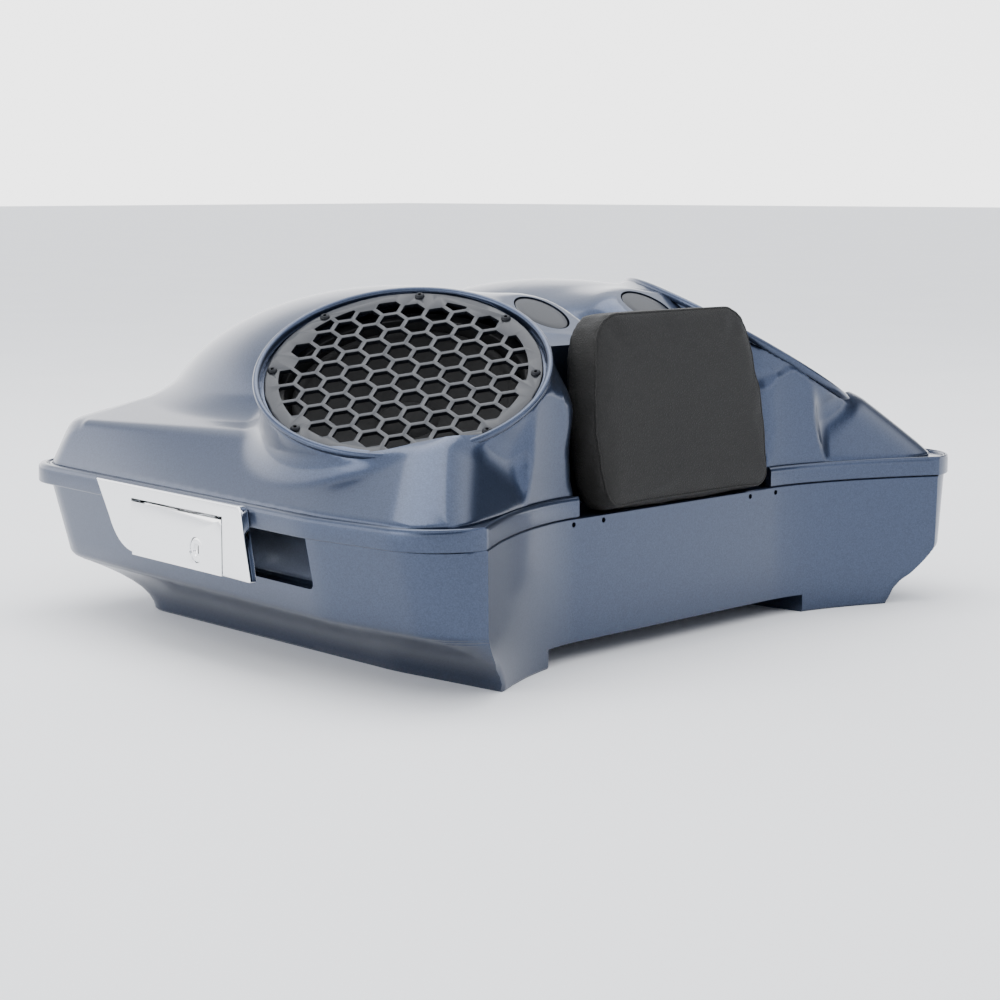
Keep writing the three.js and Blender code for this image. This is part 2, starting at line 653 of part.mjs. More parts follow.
function leafStrip(points, from, to) {
  const shape = new THREE.Shape(points.map(([n, z]) => new THREE.Vector2(n, z)));
  const geometry = new THREE.ExtrudeGeometry(shape, { depth: to - from, bevelEnabled: false });
  return geometry.rotateX(Math.PI / 2).translate(0, to, 0);
}

HINGE_STATIONS.forEach((y, i) => {
  const frame = hingeFrame(y);
  const place = (geometry) => solidOf(geometry.applyMatrix4(frame));
  const half = HINGE_LENGTH / 2;
  const inner = HINGE.knuckle / 2;
  const arm = [[-15.5, -4], [0, -4], [0, -1.5], [-15.5, -1.5]];
  const drop = [[-15.5, -1.5], [-15.5, -4], [-21.6, -36], [-19.1, -36], [-12.8, -4], [-12.8, -1.5]];
  let lower = place(leafStrip(drop, -half, half));
  for (const [from, to] of [[-half, -inner - GAP], [inner + GAP, half]]) {
    lower = lower.add(place(leafStrip(arm, from, to))).add(place(barrelPiece(HINGE.barrel, from, to)));
  }
  const bore = place(barrelPiece(HINGE.bore, -half - 5, half + 5));
  addPart(`hinge_${i + 1}_tub_leaf`, lower.subtract(bore), CHROME);

  const plate = [[-7.7, 0.6], [-5.2, 0.6], [-5.2, 14], [-7.7, 14]];
  const link = [[-6, 1], [0, 1], [0, 4], [-6, 4]];
  const upper = place(leafStrip(plate, -half, half))
    .add(place(leafStrip(link, -inner, inner)))
    .add(place(barrelPiece(HINGE.barrel, -inner, inner)));
  addPart(`hinge_${i + 1}_lid_leaf`, upper.subtract(bore), CHROME);
  addPart(`hinge_${i + 1}_pin`, place(barrelPiece(HINGE.pin, -half - 2, half + 2)), STEEL);
});

// ---- Latch -------------------------------------------------------------------------

const COVER = { low: 66.5, top: 118.7, front: -36, rear: 181, thick: 1.8, depth: 6.2 };
const PADDLE = { u: [0.6, 127.4], z: [66.5, 106.5], open: [-0.6, 128.6], openTop: 108.6, thick: 3 };
const PADDLE_AXIS = { z: 103, w: -3.5, pin: 1.2, bore: 1.5, barrel: 2.7 };
const LOCK = { u: 35, z: 81, radius: 9 };
const CATCH = { u: [54, 73], z: 92, w: -15, pin: 1.5, bore: 1.8, boss: 4 };

// The face of the cover, drawn forwards along the side, with a curved rear end.
function coverShape(shrink) {
  const shape = new THREE.Shape();
  shape.moveTo(-COVER.front - shrink, COVER.low + shrink);
  shape.lineTo(-COVER.front - shrink - 10, COVER.top - 5);
  const top = COVER.top - shrink;
  shape.quadraticCurveTo(-COVER.front - shrink - 11, top, -COVER.front - 17, top);
  shape.lineTo(-COVER.rear + shrink, top);
  shape.lineTo(-162 + shrink, 92);
  shape.quadraticCurveTo(-150 + shrink, 70 + shrink, -126, COVER.low + 1.5 + shrink);
  return shape;
}

function makeCover() {
  const opening = sideBox(PADDLE.open, [COVER.low - 10, PADDLE.openTop], [-20, 10]);
  return solidOf(extrude(coverShape(0), COVER.depth, sideFrame(0, 0, -COVER.depth)))
    .subtract(solidOf(extrude(coverShape(COVER.thick), 10, sideFrame(0, 0, -COVER.thick - 10))))
    .subtract(solidOf(opening));
}

function rodAlong(u0, u1, z, w, radius, sides = 14) {
  const rod = new THREE.CylinderGeometry(radius, radius, u1 - u0, sides).rotateZ(Math.PI / 2);
  return rod.applyMatrix4(sideFrame((u0 + u1) / 2, z, w));
}

function lockPost(radius, w0, w1, sides = 20) {
  const post = new THREE.CylinderGeometry(radius, radius, w1 - w0, sides).rotateX(Math.PI / 2);
  return post.applyMatrix4(sideFrame(LOCK.u, LOCK.z, (w0 + w1) / 2));
}

function makePaddle() {
  const { z, w, barrel, bore } = PADDLE_AXIS;
  return solidOf(sideBox(PADDLE.u, PADDLE.z, [-PADDLE.thick, 0]))
    .add(solidOf(rodAlong(PADDLE.u[0], PADDLE.u[1], z, w, barrel)))
    .subtract(solidOf(rodAlong(-10, 140, z, w, bore)))
    .subtract(solidOf(lockPost(LOCK.radius + GAP, -10, 10)));
}

function makeLock() {
  const slot = sideBox([LOCK.u - 0.8, LOCK.u + 0.8], [LOCK.z - 3.4, LOCK.z + 3.4], [-4, 2]);
  return solidOf(lockPost(LOCK.radius, -12, -0.4))
    .add(solidOf(sideBox([LOCK.u - 3, LOCK.u + 3], [LOCK.z - 2, LOCK.z + 11], [-14, -11])))
    .subtract(solidOf(slot));
}

function makeLatchBase() {
  const { z, w, bore } = PADDLE_AXIS;
  let base = solidOf(sideBox([-22, 152], [70, 103.2], [-10, -8]))
    .subtract(solidOf(sideBox([20, 86], [60, 99], [-20, 0])));
  for (const u of [-6, 131]) {
    base = base.add(solidOf(sideBox([u, u + 3], [96, 103.2], [-10, -2.3])));
    base = base.add(solidOf(sideBox([u, u + 3], [103, 106.5], [-6.2, -2.3])));
  }
  for (const u of [47, 79]) {
    base = base.add(solidOf(sideBox([u, u + 2.5], [CATCH.z - 4, 102], [-18, -8])));
  }
  return base.subtract(solidOf(rodAlong(-12, 142, z, w, bore)))
    .subtract(solidOf(rodAlong(40, 90, CATCH.z, CATCH.w, CATCH.bore)));
}

function makeCatch() {
  const hook = [[-12.5, 96], [-17.5, 96], [-18, 80], [-23, 79], [-23, 75], [-12.5, 75]];
  const shape = new THREE.Shape(hook.map(([w, z]) => new THREE.Vector2(w, z)));
  const [u0, u1] = CATCH.u;
  const turn = new THREE.Matrix4().makeBasis(
    new THREE.Vector3(0, 0, 1), new THREE.Vector3(0, 1, 0), new THREE.Vector3(-1, 0, 0),
  );
  const solid = solidOf(extrude(shape, u1 - u0, sideFrame(u0, 0, 0).multiply(turn)));
  return solid.subtract(solidOf(rodAlong(u0 - 5, u1 + 5, CATCH.z, CATCH.w, CATCH.bore)));
}

class SpringCurve extends THREE.Curve {
  constructor(radius, pitch, turns) {
    super();
    Object.assign(this, { radius, pitch, turns });
  }

  getPoint(t, target = new THREE.Vector3()) {
    const angle = 2 * Math.PI * this.turns * t;
    const along = this.pitch * this.turns * t;
    return target.set(along, this.radius * Math.cos(angle), this.radius * Math.sin(angle));
  }
}

function makeSpring() {
  const wire = discShape(0.45, 5);
  const coil = new THREE.ExtrudeGeometry(wire, { steps: 32, extrudePath: new SpringCurve(2.7, 1.05, 4) });
  return coil.applyMatrix4(sideFrame(78.4, CATCH.z, CATCH.w));
}

function makeStriker() {
  return solidOf(sideBox([48, 80], [72, 92], [RECESS.w[0] + GAP, RECESS.w[0] + 2.5]))
    .add(solidOf(sideBox([50, 78], [80, 85], [RECESS.w[0] + 1, -24.6])));
}

addPart('latch_cover', makeCover(), CHROME);
addPart('latch_paddle', makePaddle(), CHROME);
addPart('paddle_pin', rodAlong(-7, 135, PADDLE_AXIS.z, PADDLE_AXIS.w, PADDLE_AXIS.pin), STEEL);
addPart('lock_cylinder', makeLock(), CHROME);
addPart('latch_base', makeLatchBase(), STEEL);
addPart('latch_catch', makeCatch(), STEEL);
addPart('catch_pin', rodAlong(46, 83, CATCH.z, CATCH.w, CATCH.pin), STEEL);
addPart('catch_spring', makeSpring(), STEEL);
addPart('striker', makeStriker(), STEEL);

export default group;
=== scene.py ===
import math

import bmesh
import bpy
import numpy as np
from mathutils import Matrix, Vector
from mathutils.bvhtree import BVHTree


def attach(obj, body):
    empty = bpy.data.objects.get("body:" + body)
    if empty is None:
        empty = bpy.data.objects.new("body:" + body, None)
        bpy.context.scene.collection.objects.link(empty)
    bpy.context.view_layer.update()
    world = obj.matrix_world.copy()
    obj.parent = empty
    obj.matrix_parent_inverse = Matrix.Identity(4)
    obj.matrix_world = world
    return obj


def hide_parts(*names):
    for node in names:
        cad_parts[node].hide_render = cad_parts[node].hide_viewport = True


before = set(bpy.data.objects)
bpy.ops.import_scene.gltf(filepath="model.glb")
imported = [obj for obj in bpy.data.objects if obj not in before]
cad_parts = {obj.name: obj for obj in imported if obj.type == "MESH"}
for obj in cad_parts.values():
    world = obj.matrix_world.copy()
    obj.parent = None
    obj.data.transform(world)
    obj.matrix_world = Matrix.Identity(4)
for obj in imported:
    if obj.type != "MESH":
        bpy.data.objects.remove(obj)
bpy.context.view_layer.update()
MM = 0.001
SIDES = (("left", -1), ("right", 1))

# ---- Camera, floor and studio light -------------------------------------------------
# A plain studio set: one long lens a little above the lid, a pale floor that
# runs out to the horizon, and soft boxes overhead and to both sides of the trunk.

EYE = Vector((-1.3715, -1.2936, 0.3386))
LOOK_AZIMUTH = math.radians(-47.3)
LOOK_DOWN = math.radians(7.64)

lens = bpy.data.cameras.new("camera")
lens.sensor_width = 36
lens.lens = 84.6
camera = bpy.data.objects.new("camera", lens)
camera.location = EYE
camera.rotation_euler = (math.radians(90) - LOOK_DOWN, 0, LOOK_AZIMUTH)
bpy.context.scene.collection.objects.link(camera)
bpy.context.scene.camera = camera


def linear(hex_colour):
    """A six-digit sRGB hex colour as linear RGBA."""
    parts = [int(hex_colour[i:i + 2], 16) / 255 for i in (0, 2, 4)]
    return [c / 12.92 if c <= 0.04045 else ((c + 0.055) / 1.055) ** 2.4 for c in parts] + [1]


def fed(tree, node, **inputs):
    """Gives a node its inputs: values, or sockets to link."""
    for key, value in inputs.items():
        title = key.replace("_", " ")
        socket = node.inputs[title if title in node.inputs else int(key[1:])]
        if isinstance(value, bpy.types.NodeSocket):
            tree.links.new(value, socket)
        else:
            socket.default_value = value
    return node


def add(tree, kind, settings=None, **inputs):
    """Adds a node. Its settings are its properties and the stops of its colour ramp."""
    node = tree.nodes.new(kind)
    settings = dict(settings or {})
    stops = settings.pop("stops", [])
    if stops:
        ramp = node.color_ramp.elements
        for end, (spot, colour) in zip((ramp[0], ramp[1]), (stops[0], stops[-1])):
            end.position = spot
            end.color = linear(colour)
        for spot, colour in stops[1:-1]:
            ramp.new(spot).color = linear(colour)
    for key, value in settings.items():
        setattr(node, key, value)
    return fed(tree, node, **inputs)


def new_material(name):
    """A bare material with its shader, tree and Object coordinates."""
    material = bpy.data.materials.new(name)
    material.use_nodes = True
    tree = material.node_tree
    shader = tree.nodes["Principled BSDF"]
    place = add(tree, "ShaderNodeTexCoord").outputs["Object"]
    return material, tree, shader, place


def painted_floor():
    """Matt white floor paint: nearly even, with a faint cloudiness from the roller."""
    material, tree, shader, place = new_material("matt white floor paint")
    cloud = add(tree, "ShaderNodeTexNoise", Vector=place, Scale=3, Detail=2)
    mix = add(tree, "ShaderNodeMix", {"data_type": "RGBA"}, i0=cloud.outputs["Fac"],
              i6=linear("f4f4f4"), i7=linear("fafafa"))
    fed(tree, shader, Base_Color=mix.outputs[2], Roughness=0.9)
    return material


floor_sheet = bmesh.new()
bmesh.ops.create_grid(floor_sheet, x_segments=8, y_segments=8, size=30)
floor_mesh = bpy.data.meshes.new("floor")
floor_sheet.to_mesh(floor_mesh)
floor = bpy.data.objects.new("floor", floor_mesh)
floor_mesh.materials.append(painted_floor())
bpy.context.scene.collection.objects.link(floor)


def soft_box(name, place, target, size, watts, tint="ffffff"):
    """A rectangular soft box that faces its target."""
    light = bpy.data.lights.new(name, "AREA")
    light.shape = "RECTANGLE"
    light.size, light.size_y = size
    light.energy = watts
    light.color = linear(tint)[:3]
    box = bpy.data.objects.new(name, light)
    box.location = place
    box.rotation_euler = (Vector(target) - Vector(place)).to_track_quat("-Z", "Y").to_euler()
    bpy.context.scene.collection.objects.link(box)


soft_box("overhead_box", (0.2, 0.4, 2.6), (0, 0, 0.1), (2.4, 2.0), 60)
soft_box("left_box", (-2.8, 0.6, 1.1), (0, 0, 0.1), (1.6, 1.4), 16)
soft_box("front_box", (0.9, -2.8, 1.0), (0, 0, 0.1), (1.8, 1.2), 12, "eef3ff")

world = bpy.data.worlds.new("studio")
world.use_nodes = True
bpy.context.scene.world = world
sky = world.node_tree
direction = add(sky, "ShaderNodeTexCoord").outputs["Generated"]
height = add(sky, "ShaderNodeSeparateXYZ", Vector=direction).outputs["Z"]


def wall_of_light(spots):
    """Greys from the horizon to overhead: soft boxes, and the dark gaps between them."""
    shade = add(sky, "ShaderNodeValToRGB", {"stops": spots}, Fac=height)
    shade.color_ramp.interpolation = "EASE"
    return shade.outputs["Color"]


behind = wall_of_light([(0.0, "ffffff"), (0.34, "f6f6f8"), (0.5, "a0a4ac"), (0.7, "c0c3c8"),
                        (1.0, "9a9da3")])
ahead = wall_of_light([(0.0, "ffffff"), (0.06, "d8dbe0"), (0.16, "2a3140"), (0.42, "1d232f"),
                       (0.58, "d8dade"), (1.0, "9a9da3")])
aside = add(sky, "ShaderNodeVectorMath", {"operation": "DOT_PRODUCT"}, i0=direction, i1=(-0.35, 0.94, 0))
share = add(sky, "ShaderNodeMapRange", {"interpolation_type": "SMOOTHSTEP"}, Value=aside.outputs["Value"],
            From_Min=-0.25, From_Max=0.3)
studio = add(sky, "ShaderNodeMix", {"data_type": "RGBA"}, i0=share.outputs["Result"],
             i6=ahead, i7=behind)
fed(sky, sky.nodes["Background"], Color=studio.outputs[2], Strength=3.6)

# ---- Tub ----------------------------------------------------------------------------
# The lower half of the trunk: an ABS moulding about 4 mm thick, painted to match the
# motorcycle. A crease runs round it above a lower band that tucks in to two runners.

HALF_WIDTH, REAR_HALF, REAR_Y, NOSE_Y, SHOULDER_Y = 318, 252, 263, -266, -140
FRONT_Y, FRONT_FLAT, FRONT_CREASE, FRONT_DEPTH = -211, 118, 266, 53
REAR_CROWN = 3
WALL = 4
TUB_TOP, CREASE, FLOOR_TOP, RUNNER_HALF, RAISED_FLOOR = 103.4, 45, 18, 153, 14
SIDE_SLOPE = (HALF_WIDTH - REAR_HALF) / (REAR_Y - SHOULDER_Y)


def front_wall(x):
    """How far forward the front wall stands at x: flat in the middle, curving forward outside."""
    out = np.maximum(0, np.abs(x) - FRONT_FLAT) / (FRONT_CREASE - FRONT_FLAT)
    return FRONT_Y - FRONT_DEPTH * out ** 1.7


def arc_between(before, corner, after, radius, steps):
    """Points of the arc that rounds a corner."""
    a = (before - corner).normalized()
    b = (after - corner).normalized()
    half = math.acos(max(-1, min(1, a.dot(b)))) / 2
    centre = corner + (a + b).normalized() * (radius / math.sin(half))
    start = corner + a * (radius / math.tan(half)) - centre
    end = corner + b * (radius / math.tan(half)) - centre
    sweep = math.atan2(start.x * end.y - start.y * end.x, start.dot(end))
    turned = []
    for i in range(steps + 1):
        c, s = math.cos(sweep * i / steps), math.sin(sweep * i / steps)
        turned.append(centre + Vector((start.x * c - start.y * s, start.x * s + start.y * c)))
    return turned


def spaced(points, count, bunch=1.0):
    """The same line as count steps, bunched up towards its start."""
    lengths = [0.0]
    for p, q in zip(points, points[1:]):
        lengths.append(lengths[-1] + (q - p).length)
    result, k = [], 0
    for i in range(count):
        goal = lengths[-1] * (i / count) ** bunch
        while lengths[k + 1] < goal:
            k += 1
        part = (goal - lengths[k]) / max(1e-9, lengths[k + 1] - lengths[k])
        result.append(points[k].lerp(points[k + 1], part))
    return result


def outline(side, rear_side=None, rear=None, front=0, front_radius=48, rear_radius=48):
    """The plan outline of the trunk, from the front middle round by the right side."""
    rear_side = side if rear_side is None else rear_side
    rear = side if rear is None else rear
    nose = Vector((HALF_WIDTH - side, NOSE_Y))
    shoulder = Vector((HALF_WIDTH - side, SHOULDER_Y))
    tail = Vector((REAR_HALF - rear_side, REAR_Y - rear))
    back = Vector((0, REAR_Y - rear + REAR_CROWN))
    line = [Vector((0, NOSE_Y))] + arc_between(Vector((0, NOSE_Y)), nose, shoulder, front_radius, 16)
    line += arc_between(nose, shoulder, tail, 160, 8)
    line += arc_between(shoulder, tail, back, rear_radius, 16) + [back]
    fine = [p.lerp(q, i / 40) for p, q in zip(line, line[1:]) for i in range(40)] + [back]
    inside = next(i for i, p in enumerate(fine) if p.y > front_wall(p.x) + front)
    crease = fine[inside]
    across = [crease.x * i / 80 for i in range(80)]
    forward = [Vector((x, front_wall(x) + front)) for x in across] + [crease]
    shoulder_at = next(i for i, p in enumerate(fine) if i > inside and p.y > SHOULDER_Y)
    right = spaced(forward, 56) + spaced(fine[inside:shoulder_at + 1], 40, 1.3)
    right += spaced(fine[shoulder_at:], 84)
    left = [Vector((-p.x, p.y)) for p in right[1:]]
    return right + [back] + left[::-1]


def loop_at(bm, points, z):
    """A closed loop of edges through the points at one height."""
    verts = [bm.verts.new((p.x * MM, p.y * MM, z * MM)) for p in points]
    return [bm.edges.new((a, b)) for a, b in zip(verts, verts[1:] + verts[:1])]


def loft(bm, loops, closed=False):
    """Walls between loops, with caps or, when closed, back to the first."""
    for low, high in zip(loops, loops[1:]):
        bmesh.ops.bridge_loops(bm, edges=low + high)
    if closed:
        bmesh.ops.bridge_loops(bm, edges=loops[-1] + loops[0])
    else:
        for ring in (loops[0], loops[-1]):
            bmesh.ops.contextual_create(bm, geom=ring)
    bmesh.ops.recalc_face_normals(bm, faces=bm.faces)


def box(bm, low, high):
    """A block between two corners, in millimetres."""
    size = [(b - a) * MM for a, b in zip(low, high)]
    middle = [(a + b) / 2 * MM for a, b in zip(low, high)]
    place = Matrix.Translation(middle) @ Matrix.Diagonal((*size, 1))
    return bmesh.ops.create_cube(bm, size=1, matrix=place)["verts"]


def solid(bm, name="tool"):
    """An object from a bmesh, with its normals outwards."""
    bmesh.ops.recalc_face_normals(bm, faces=bm.faces)
    mesh = bpy.data.meshes.new(name)
    bm.to_mesh(mesh)
    bm.free()
    result = bpy.data.objects.new(name, mesh)
    bpy.context.scene.collection.objects.link(result)
    return result


def bevelled(bm, edges, offset, segments):
    """Rounds edges by an offset in millimetres."""
    bmesh.ops.bevel(bm, geom=edges, offset=offset * MM, affect="EDGES", segments=segments,
                    profile=0.5, material=-1)


def settled(obj):
    """Applies the modifiers of an object."""
    graph = bpy.context.evaluated_depsgraph_get()
    mesh = bpy.data.meshes.new_from_object(obj.evaluated_get(graph))
    obj.modifiers.clear()
    old = obj.data
    obj.data = mesh
    bpy.data.meshes.remove(old)
    return obj


def worked(obj, operation, *tools):
    """Cuts an object with tools or joins them to it, and removes the tools."""
    for tool in tools:
        step = obj.modifiers.new("work", "BOOLEAN")
        step.operation = operation
        step.solver = "MANIFOLD"
        step.object = tool
        settled(obj)
        bpy.data.objects.remove(tool)
    return obj


def dressed(obj, material, body, slot, *nodes, angle=35):
    """Gives a finished piece its paint and its body, and hides the CAD nodes that it stands for."""
    obj.data.materials.clear()
    obj.data.materials.append(material)
    obj.data.shade_smooth()
    obj.data.set_sharp_from_angle(angle=math.radians(angle))
    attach(obj, body)
    if nodes:
        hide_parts(*nodes)
    return obj


def metallic_paint():
    """Two-stage automotive paint on ABS: a blue-grey base coat with fine aluminium
    flakes, and a smooth clear coat that mirrors the room softly."""
    material, tree, shader, place = new_material("metallic base coat under clear coat")
    # real flakes are 0.05 mm; drawn at 0.8 mm so that their sparkle shows
    flakes = add(tree, "ShaderNodeTexVoronoi", Vector=place, Scale=1 / 0.0008)
    tone = add(tree, "ShaderNodeValToRGB", {"stops": [(0, "30394c"), (1, "3c475d")]},
               Fac=flakes.outputs["Color"])
    # orange peel of sprayed clear coat, about 6 mm from crest to crest
    peel = add(tree, "ShaderNodeTexNoise", Vector=place, Scale=1 / 0.006, Detail=1)
    bump = add(tree, "ShaderNodeBump", Height=peel.outputs["Fac"], Strength=0.02, Distance=0.0005)
    fed(tree, shader, Base_Color=tone.outputs["Color"], Normal=bump.outputs["Normal"], Metallic=0.9,
        Roughness=0.33, Coat_Weight=0.45, Coat_Roughness=0.13)
    return material


paint = metallic_paint()


def drum(bm, place, radius, depth, segments):
    """A short cylinder about the z of a frame, its sizes in millimetres."""
    bmesh.ops.create_cone(bm, cap_ends=True, segments=segments, radius1=radius * MM, radius2=radius * MM,
                          depth=depth * MM, matrix=place)


LIP_TOP, LIP_INSET, LIP_FRONT, NOTCH_HALF, NOTCH_TOP_HALF, NOTCH_Y = 109, 13, 6, 113, 103, -167
BOLT_SPOTS = [(-90, -70), (90, -70), (-90, 90), (90, 90)]
BOLT_RADIUS = 4.5

tub_outside = bmesh.new()
heights = [0, 1.5, 6, 12, 18, 24, 30, 35, 39, 40.2, 40.9, 41.6, 42.6, 43.3, 44, CREASE, 46.5, 48.5]
heights += [60, 74, 88, 99, 102.6]
levels = []
for z in heights:
    groove = 1.0 if z in (40.9, 43.3) else 0
    soft = {CREASE: 1.4, 46.5: 0.5, 44: 0.6}.get(z, 0)
    low = min(1, z / CREASE) ** 2
    up = max(0, (z - CREASE) / (TUB_TOP - CREASE))
    trim = groove + soft + (1.2 if z == 0 else 0)
    points = outline(86 - 67 * low - 11 * up + trim, 62 - 44 * low - 10 * up + trim,
                     74 - 54 * low - 12 * up + trim, 1.0 if z == 0 else 0,
                     10 + 30 * low + 5 * up, 30 + 12 * low + 3 * up)
    levels.append(loop_at(tub_outside, points, z))
levels.append(loop_at(tub_outside, outline(9, front=1.2, front_radius=45, rear_radius=45), TUB_TOP))
loft(tub_outside, levels)
tub = solid(tub_outside, "painted_tub")


def ring_block(low, high, inset, front, radius=45):
    """A block with the plan outline of the trunk."""
    bm = bmesh.new()
    points = outline(inset, front=front, front_radius=radius, rear_radius=radius)
    loft(bm, [loop_at(bm, points, low), loop_at(bm, points, high)])
    return solid(bm)


def block(low, high):
    """A plain block as a tool."""
    bm = bmesh.new()
    box(bm, low, high)
    return solid(bm)


def notch_block(grow, low):
    """The recess of the backrest, narrower between the pods."""
    bm = bmesh.new()
    wide, narrow = NOTCH_HALF + grow, NOTCH_TOP_HALF + grow
    section = [(-wide, low), (wide, low), (wide, 150), (narrow, 185), (narrow, 420), (-narrow, 420),
               (-narrow, 185), (-wide, 150)]
    face = bm.faces.new([bm.verts.new((x * MM, (NOTCH_Y + grow) * MM, z * MM)) for x, z in section])
    moved = bmesh.ops.extrude_face_region(bm, geom=[face])
    ends = [v for v in moved["geom"] if isinstance(v, bmesh.types.BMVert)]
    bmesh.ops.translate(bm, verts=ends, vec=(0, -0.3, 0))
    inner = [e for e in bm.edges if all(abs(v.co.y - (NOTCH_Y + grow) * MM) < 1e-6 for v in e.verts)]
    bevelled(bm, inner, 4, 3)
    return solid(bm)


lip = ring_block(TUB_TOP - 6, LIP_TOP, LIP_INSET, LIP_FRONT)
worked(lip, "DIFFERENCE", notch_block(LIP_FRONT, TUB_TOP))
worked(tub, "UNION", lip)

cavity = bmesh.new()
floor_ring = outline(88, 65, 76, LIP_FRONT + WALL, 12, 32)
inner_levels = [loop_at(cavity, floor_ring, FLOOR_TOP)]
for z in (26, 34, 40, CREASE, 60, 80, 96):
    low = min(1, z / CREASE) ** 2
    up = max(0, (z - CREASE) / (TUB_TOP - CREASE))
    inner_levels.append(loop_at(cavity, outline(
        90 - 67 * low - 8 * up, 66 - 44 * low - 7 * up, 78 - 54 * low - 9 * up,
        LIP_FRONT + WALL, 12 + 28 * low, 32 + 10 * low), z + 2))
mouth = outline(LIP_INSET + WALL, front=LIP_FRONT + WALL, front_radius=42, rear_radius=42)
inner_levels += [loop_at(cavity, mouth, 101), loop_at(cavity, mouth, 130)]
loft(cavity, inner_levels)

LATCH_Y, LATCH_PROUD = -48.5, 6.5
side_along = Vector((SIDE_SLOPE, 1, 0)).normalized()
side_out = Vector((-side_along.y, side_along.x, 0))
half_width_there = HALF_WIDTH - SIDE_SLOPE * max(0, LATCH_Y - SHOULDER_Y)
latch_base_point = Vector((-half_width_there - LATCH_PROUD, LATCH_Y, 0))


def side_place(u, z, w):
    """A place on the sloping left side: u rearwards along it, z up, w out of it."""
    turn = Matrix((side_along, Vector((0, 0, 1)), side_out)).transposed().to_4x4()
    spot = latch_base_point + side_along * u + side_out * w + Vector((0, 0, z))
    return Matrix.Translation(spot * MM) @ turn


def side_block(u, z, w, bevel=0):
    """A block on the left side, from its u, z and w limits, with softened edges."""
    bm = bmesh.new()
    place = side_place(sum(u) / 2, sum(z) / 2, sum(w) / 2)
    size = Matrix.Diagonal(((u[1] - u[0]) * MM, (z[1] - z[0]) * MM, (w[1] - w[0]) * MM, 1))
    bmesh.ops.create_cube(bm, size=1, matrix=place @ size)
    if bevel:
        bevelled(bm, bm.edges[:], bevel, 3)
    return solid(bm)


recess_hull = side_block((-108, 146), (62, 130), (-37, 30))
worked(recess_hull, "INTERSECT", ring_block(50, LIP_TOP, LIP_INSET, LIP_FRONT))
cavity_solid = worked(solid(cavity), "DIFFERENCE", recess_hull)
worked(tub, "DIFFERENCE", cavity_solid)
shelf = block((-NOTCH_HALF - 8, FRONT_Y + 2, 96), (NOTCH_HALF + 8, NOTCH_Y + 10, TUB_TOP))
worked(tub, "UNION", shelf)
worked(tub, "UNION", block((-NOTCH_HALF - 10, NOTCH_Y + 6, 92), (NOTCH_HALF + 10, NOTCH_Y + 10, LIP_TOP)))
worked(tub, "DIFFERENCE", block((-RUNNER_HALF, -400, -10), (RUNNER_HALF, 400, RAISED_FLOOR)))
worked(tub, "DIFFERENCE", side_block((-84, 142), (66, 130), (-33, 30), bevel=5))


def post(x, y, low, high, radius, segments=24, turn=None):
    """A round tool, upright, or along y when turned."""
    bm = bmesh.new()
    place = Matrix.Translation((x * MM, y * MM, (low + high) / 2 * MM))
    if turn is not None:
        place = Matrix.Translation((x * MM, y * MM, turn * MM)) @ Matrix.Rotation(math.radians(90), 4, "X")
    drum(bm, place, radius, high - low, segments)
    return solid(bm)


for x, y in BOLT_SPOTS:
    worked(tub, "DIFFERENCE", post(x, y, 0, FLOOR_TOP + 10, BOLT_RADIUS))
for x in (-121, -88, 88, 121):
    worked(tub, "DIFFERENCE", post(x, FRONT_Y, -20, 20, 2, turn=99))
dressed(tub, paint, "tub", "paint", "tub_shell", angle=28)

# ---- Lid ----------------------------------------------------------------------------
# The upper half: one ABS moulding with a rim that overhangs the tub, two speaker pods
# and a raised back behind each. Its surfaces flow into each other over wide fillets.

RIM_BOTTOM, RIM_TOP, RIM_WALL, BODY_INSET, BODY_FRONT = 103.7, 119, 4.5, 9, 5
RING_X, RING_Y, RING_Z, RING_BORE, RING_SEAT = 197, -116, 211.4, 100, 91
RING_NORMAL = Vector((0.4, -0.292, 0.869)).normalized()
RECESS_DEPTH, GRILLE_THICK = 5, 3
HUMP_X, HUMP_Y, HUMP_Z, HUMP_RADIUS, HUMP_FALL = 62, -128, 245, 42, 0.22
POCKET_RADIUS, POCKET_DEPTH = 22.5, 8
HUMP_SLOPE = math.radians(30)
LID_INSIDE_FLOOR = 98


def both(a, b, radius):
    """What two shapes share, with a rounded edge."""
    u = np.maximum(radius + a, 0)
    v = np.maximum(radius + b, 0)
    return np.minimum(-radius, np.maximum(a, b)) + np.hypot(u, v)


def either(a, b, radius):
    """Two shapes together, with a fillet between them."""
    return -both(-a, -b, radius)


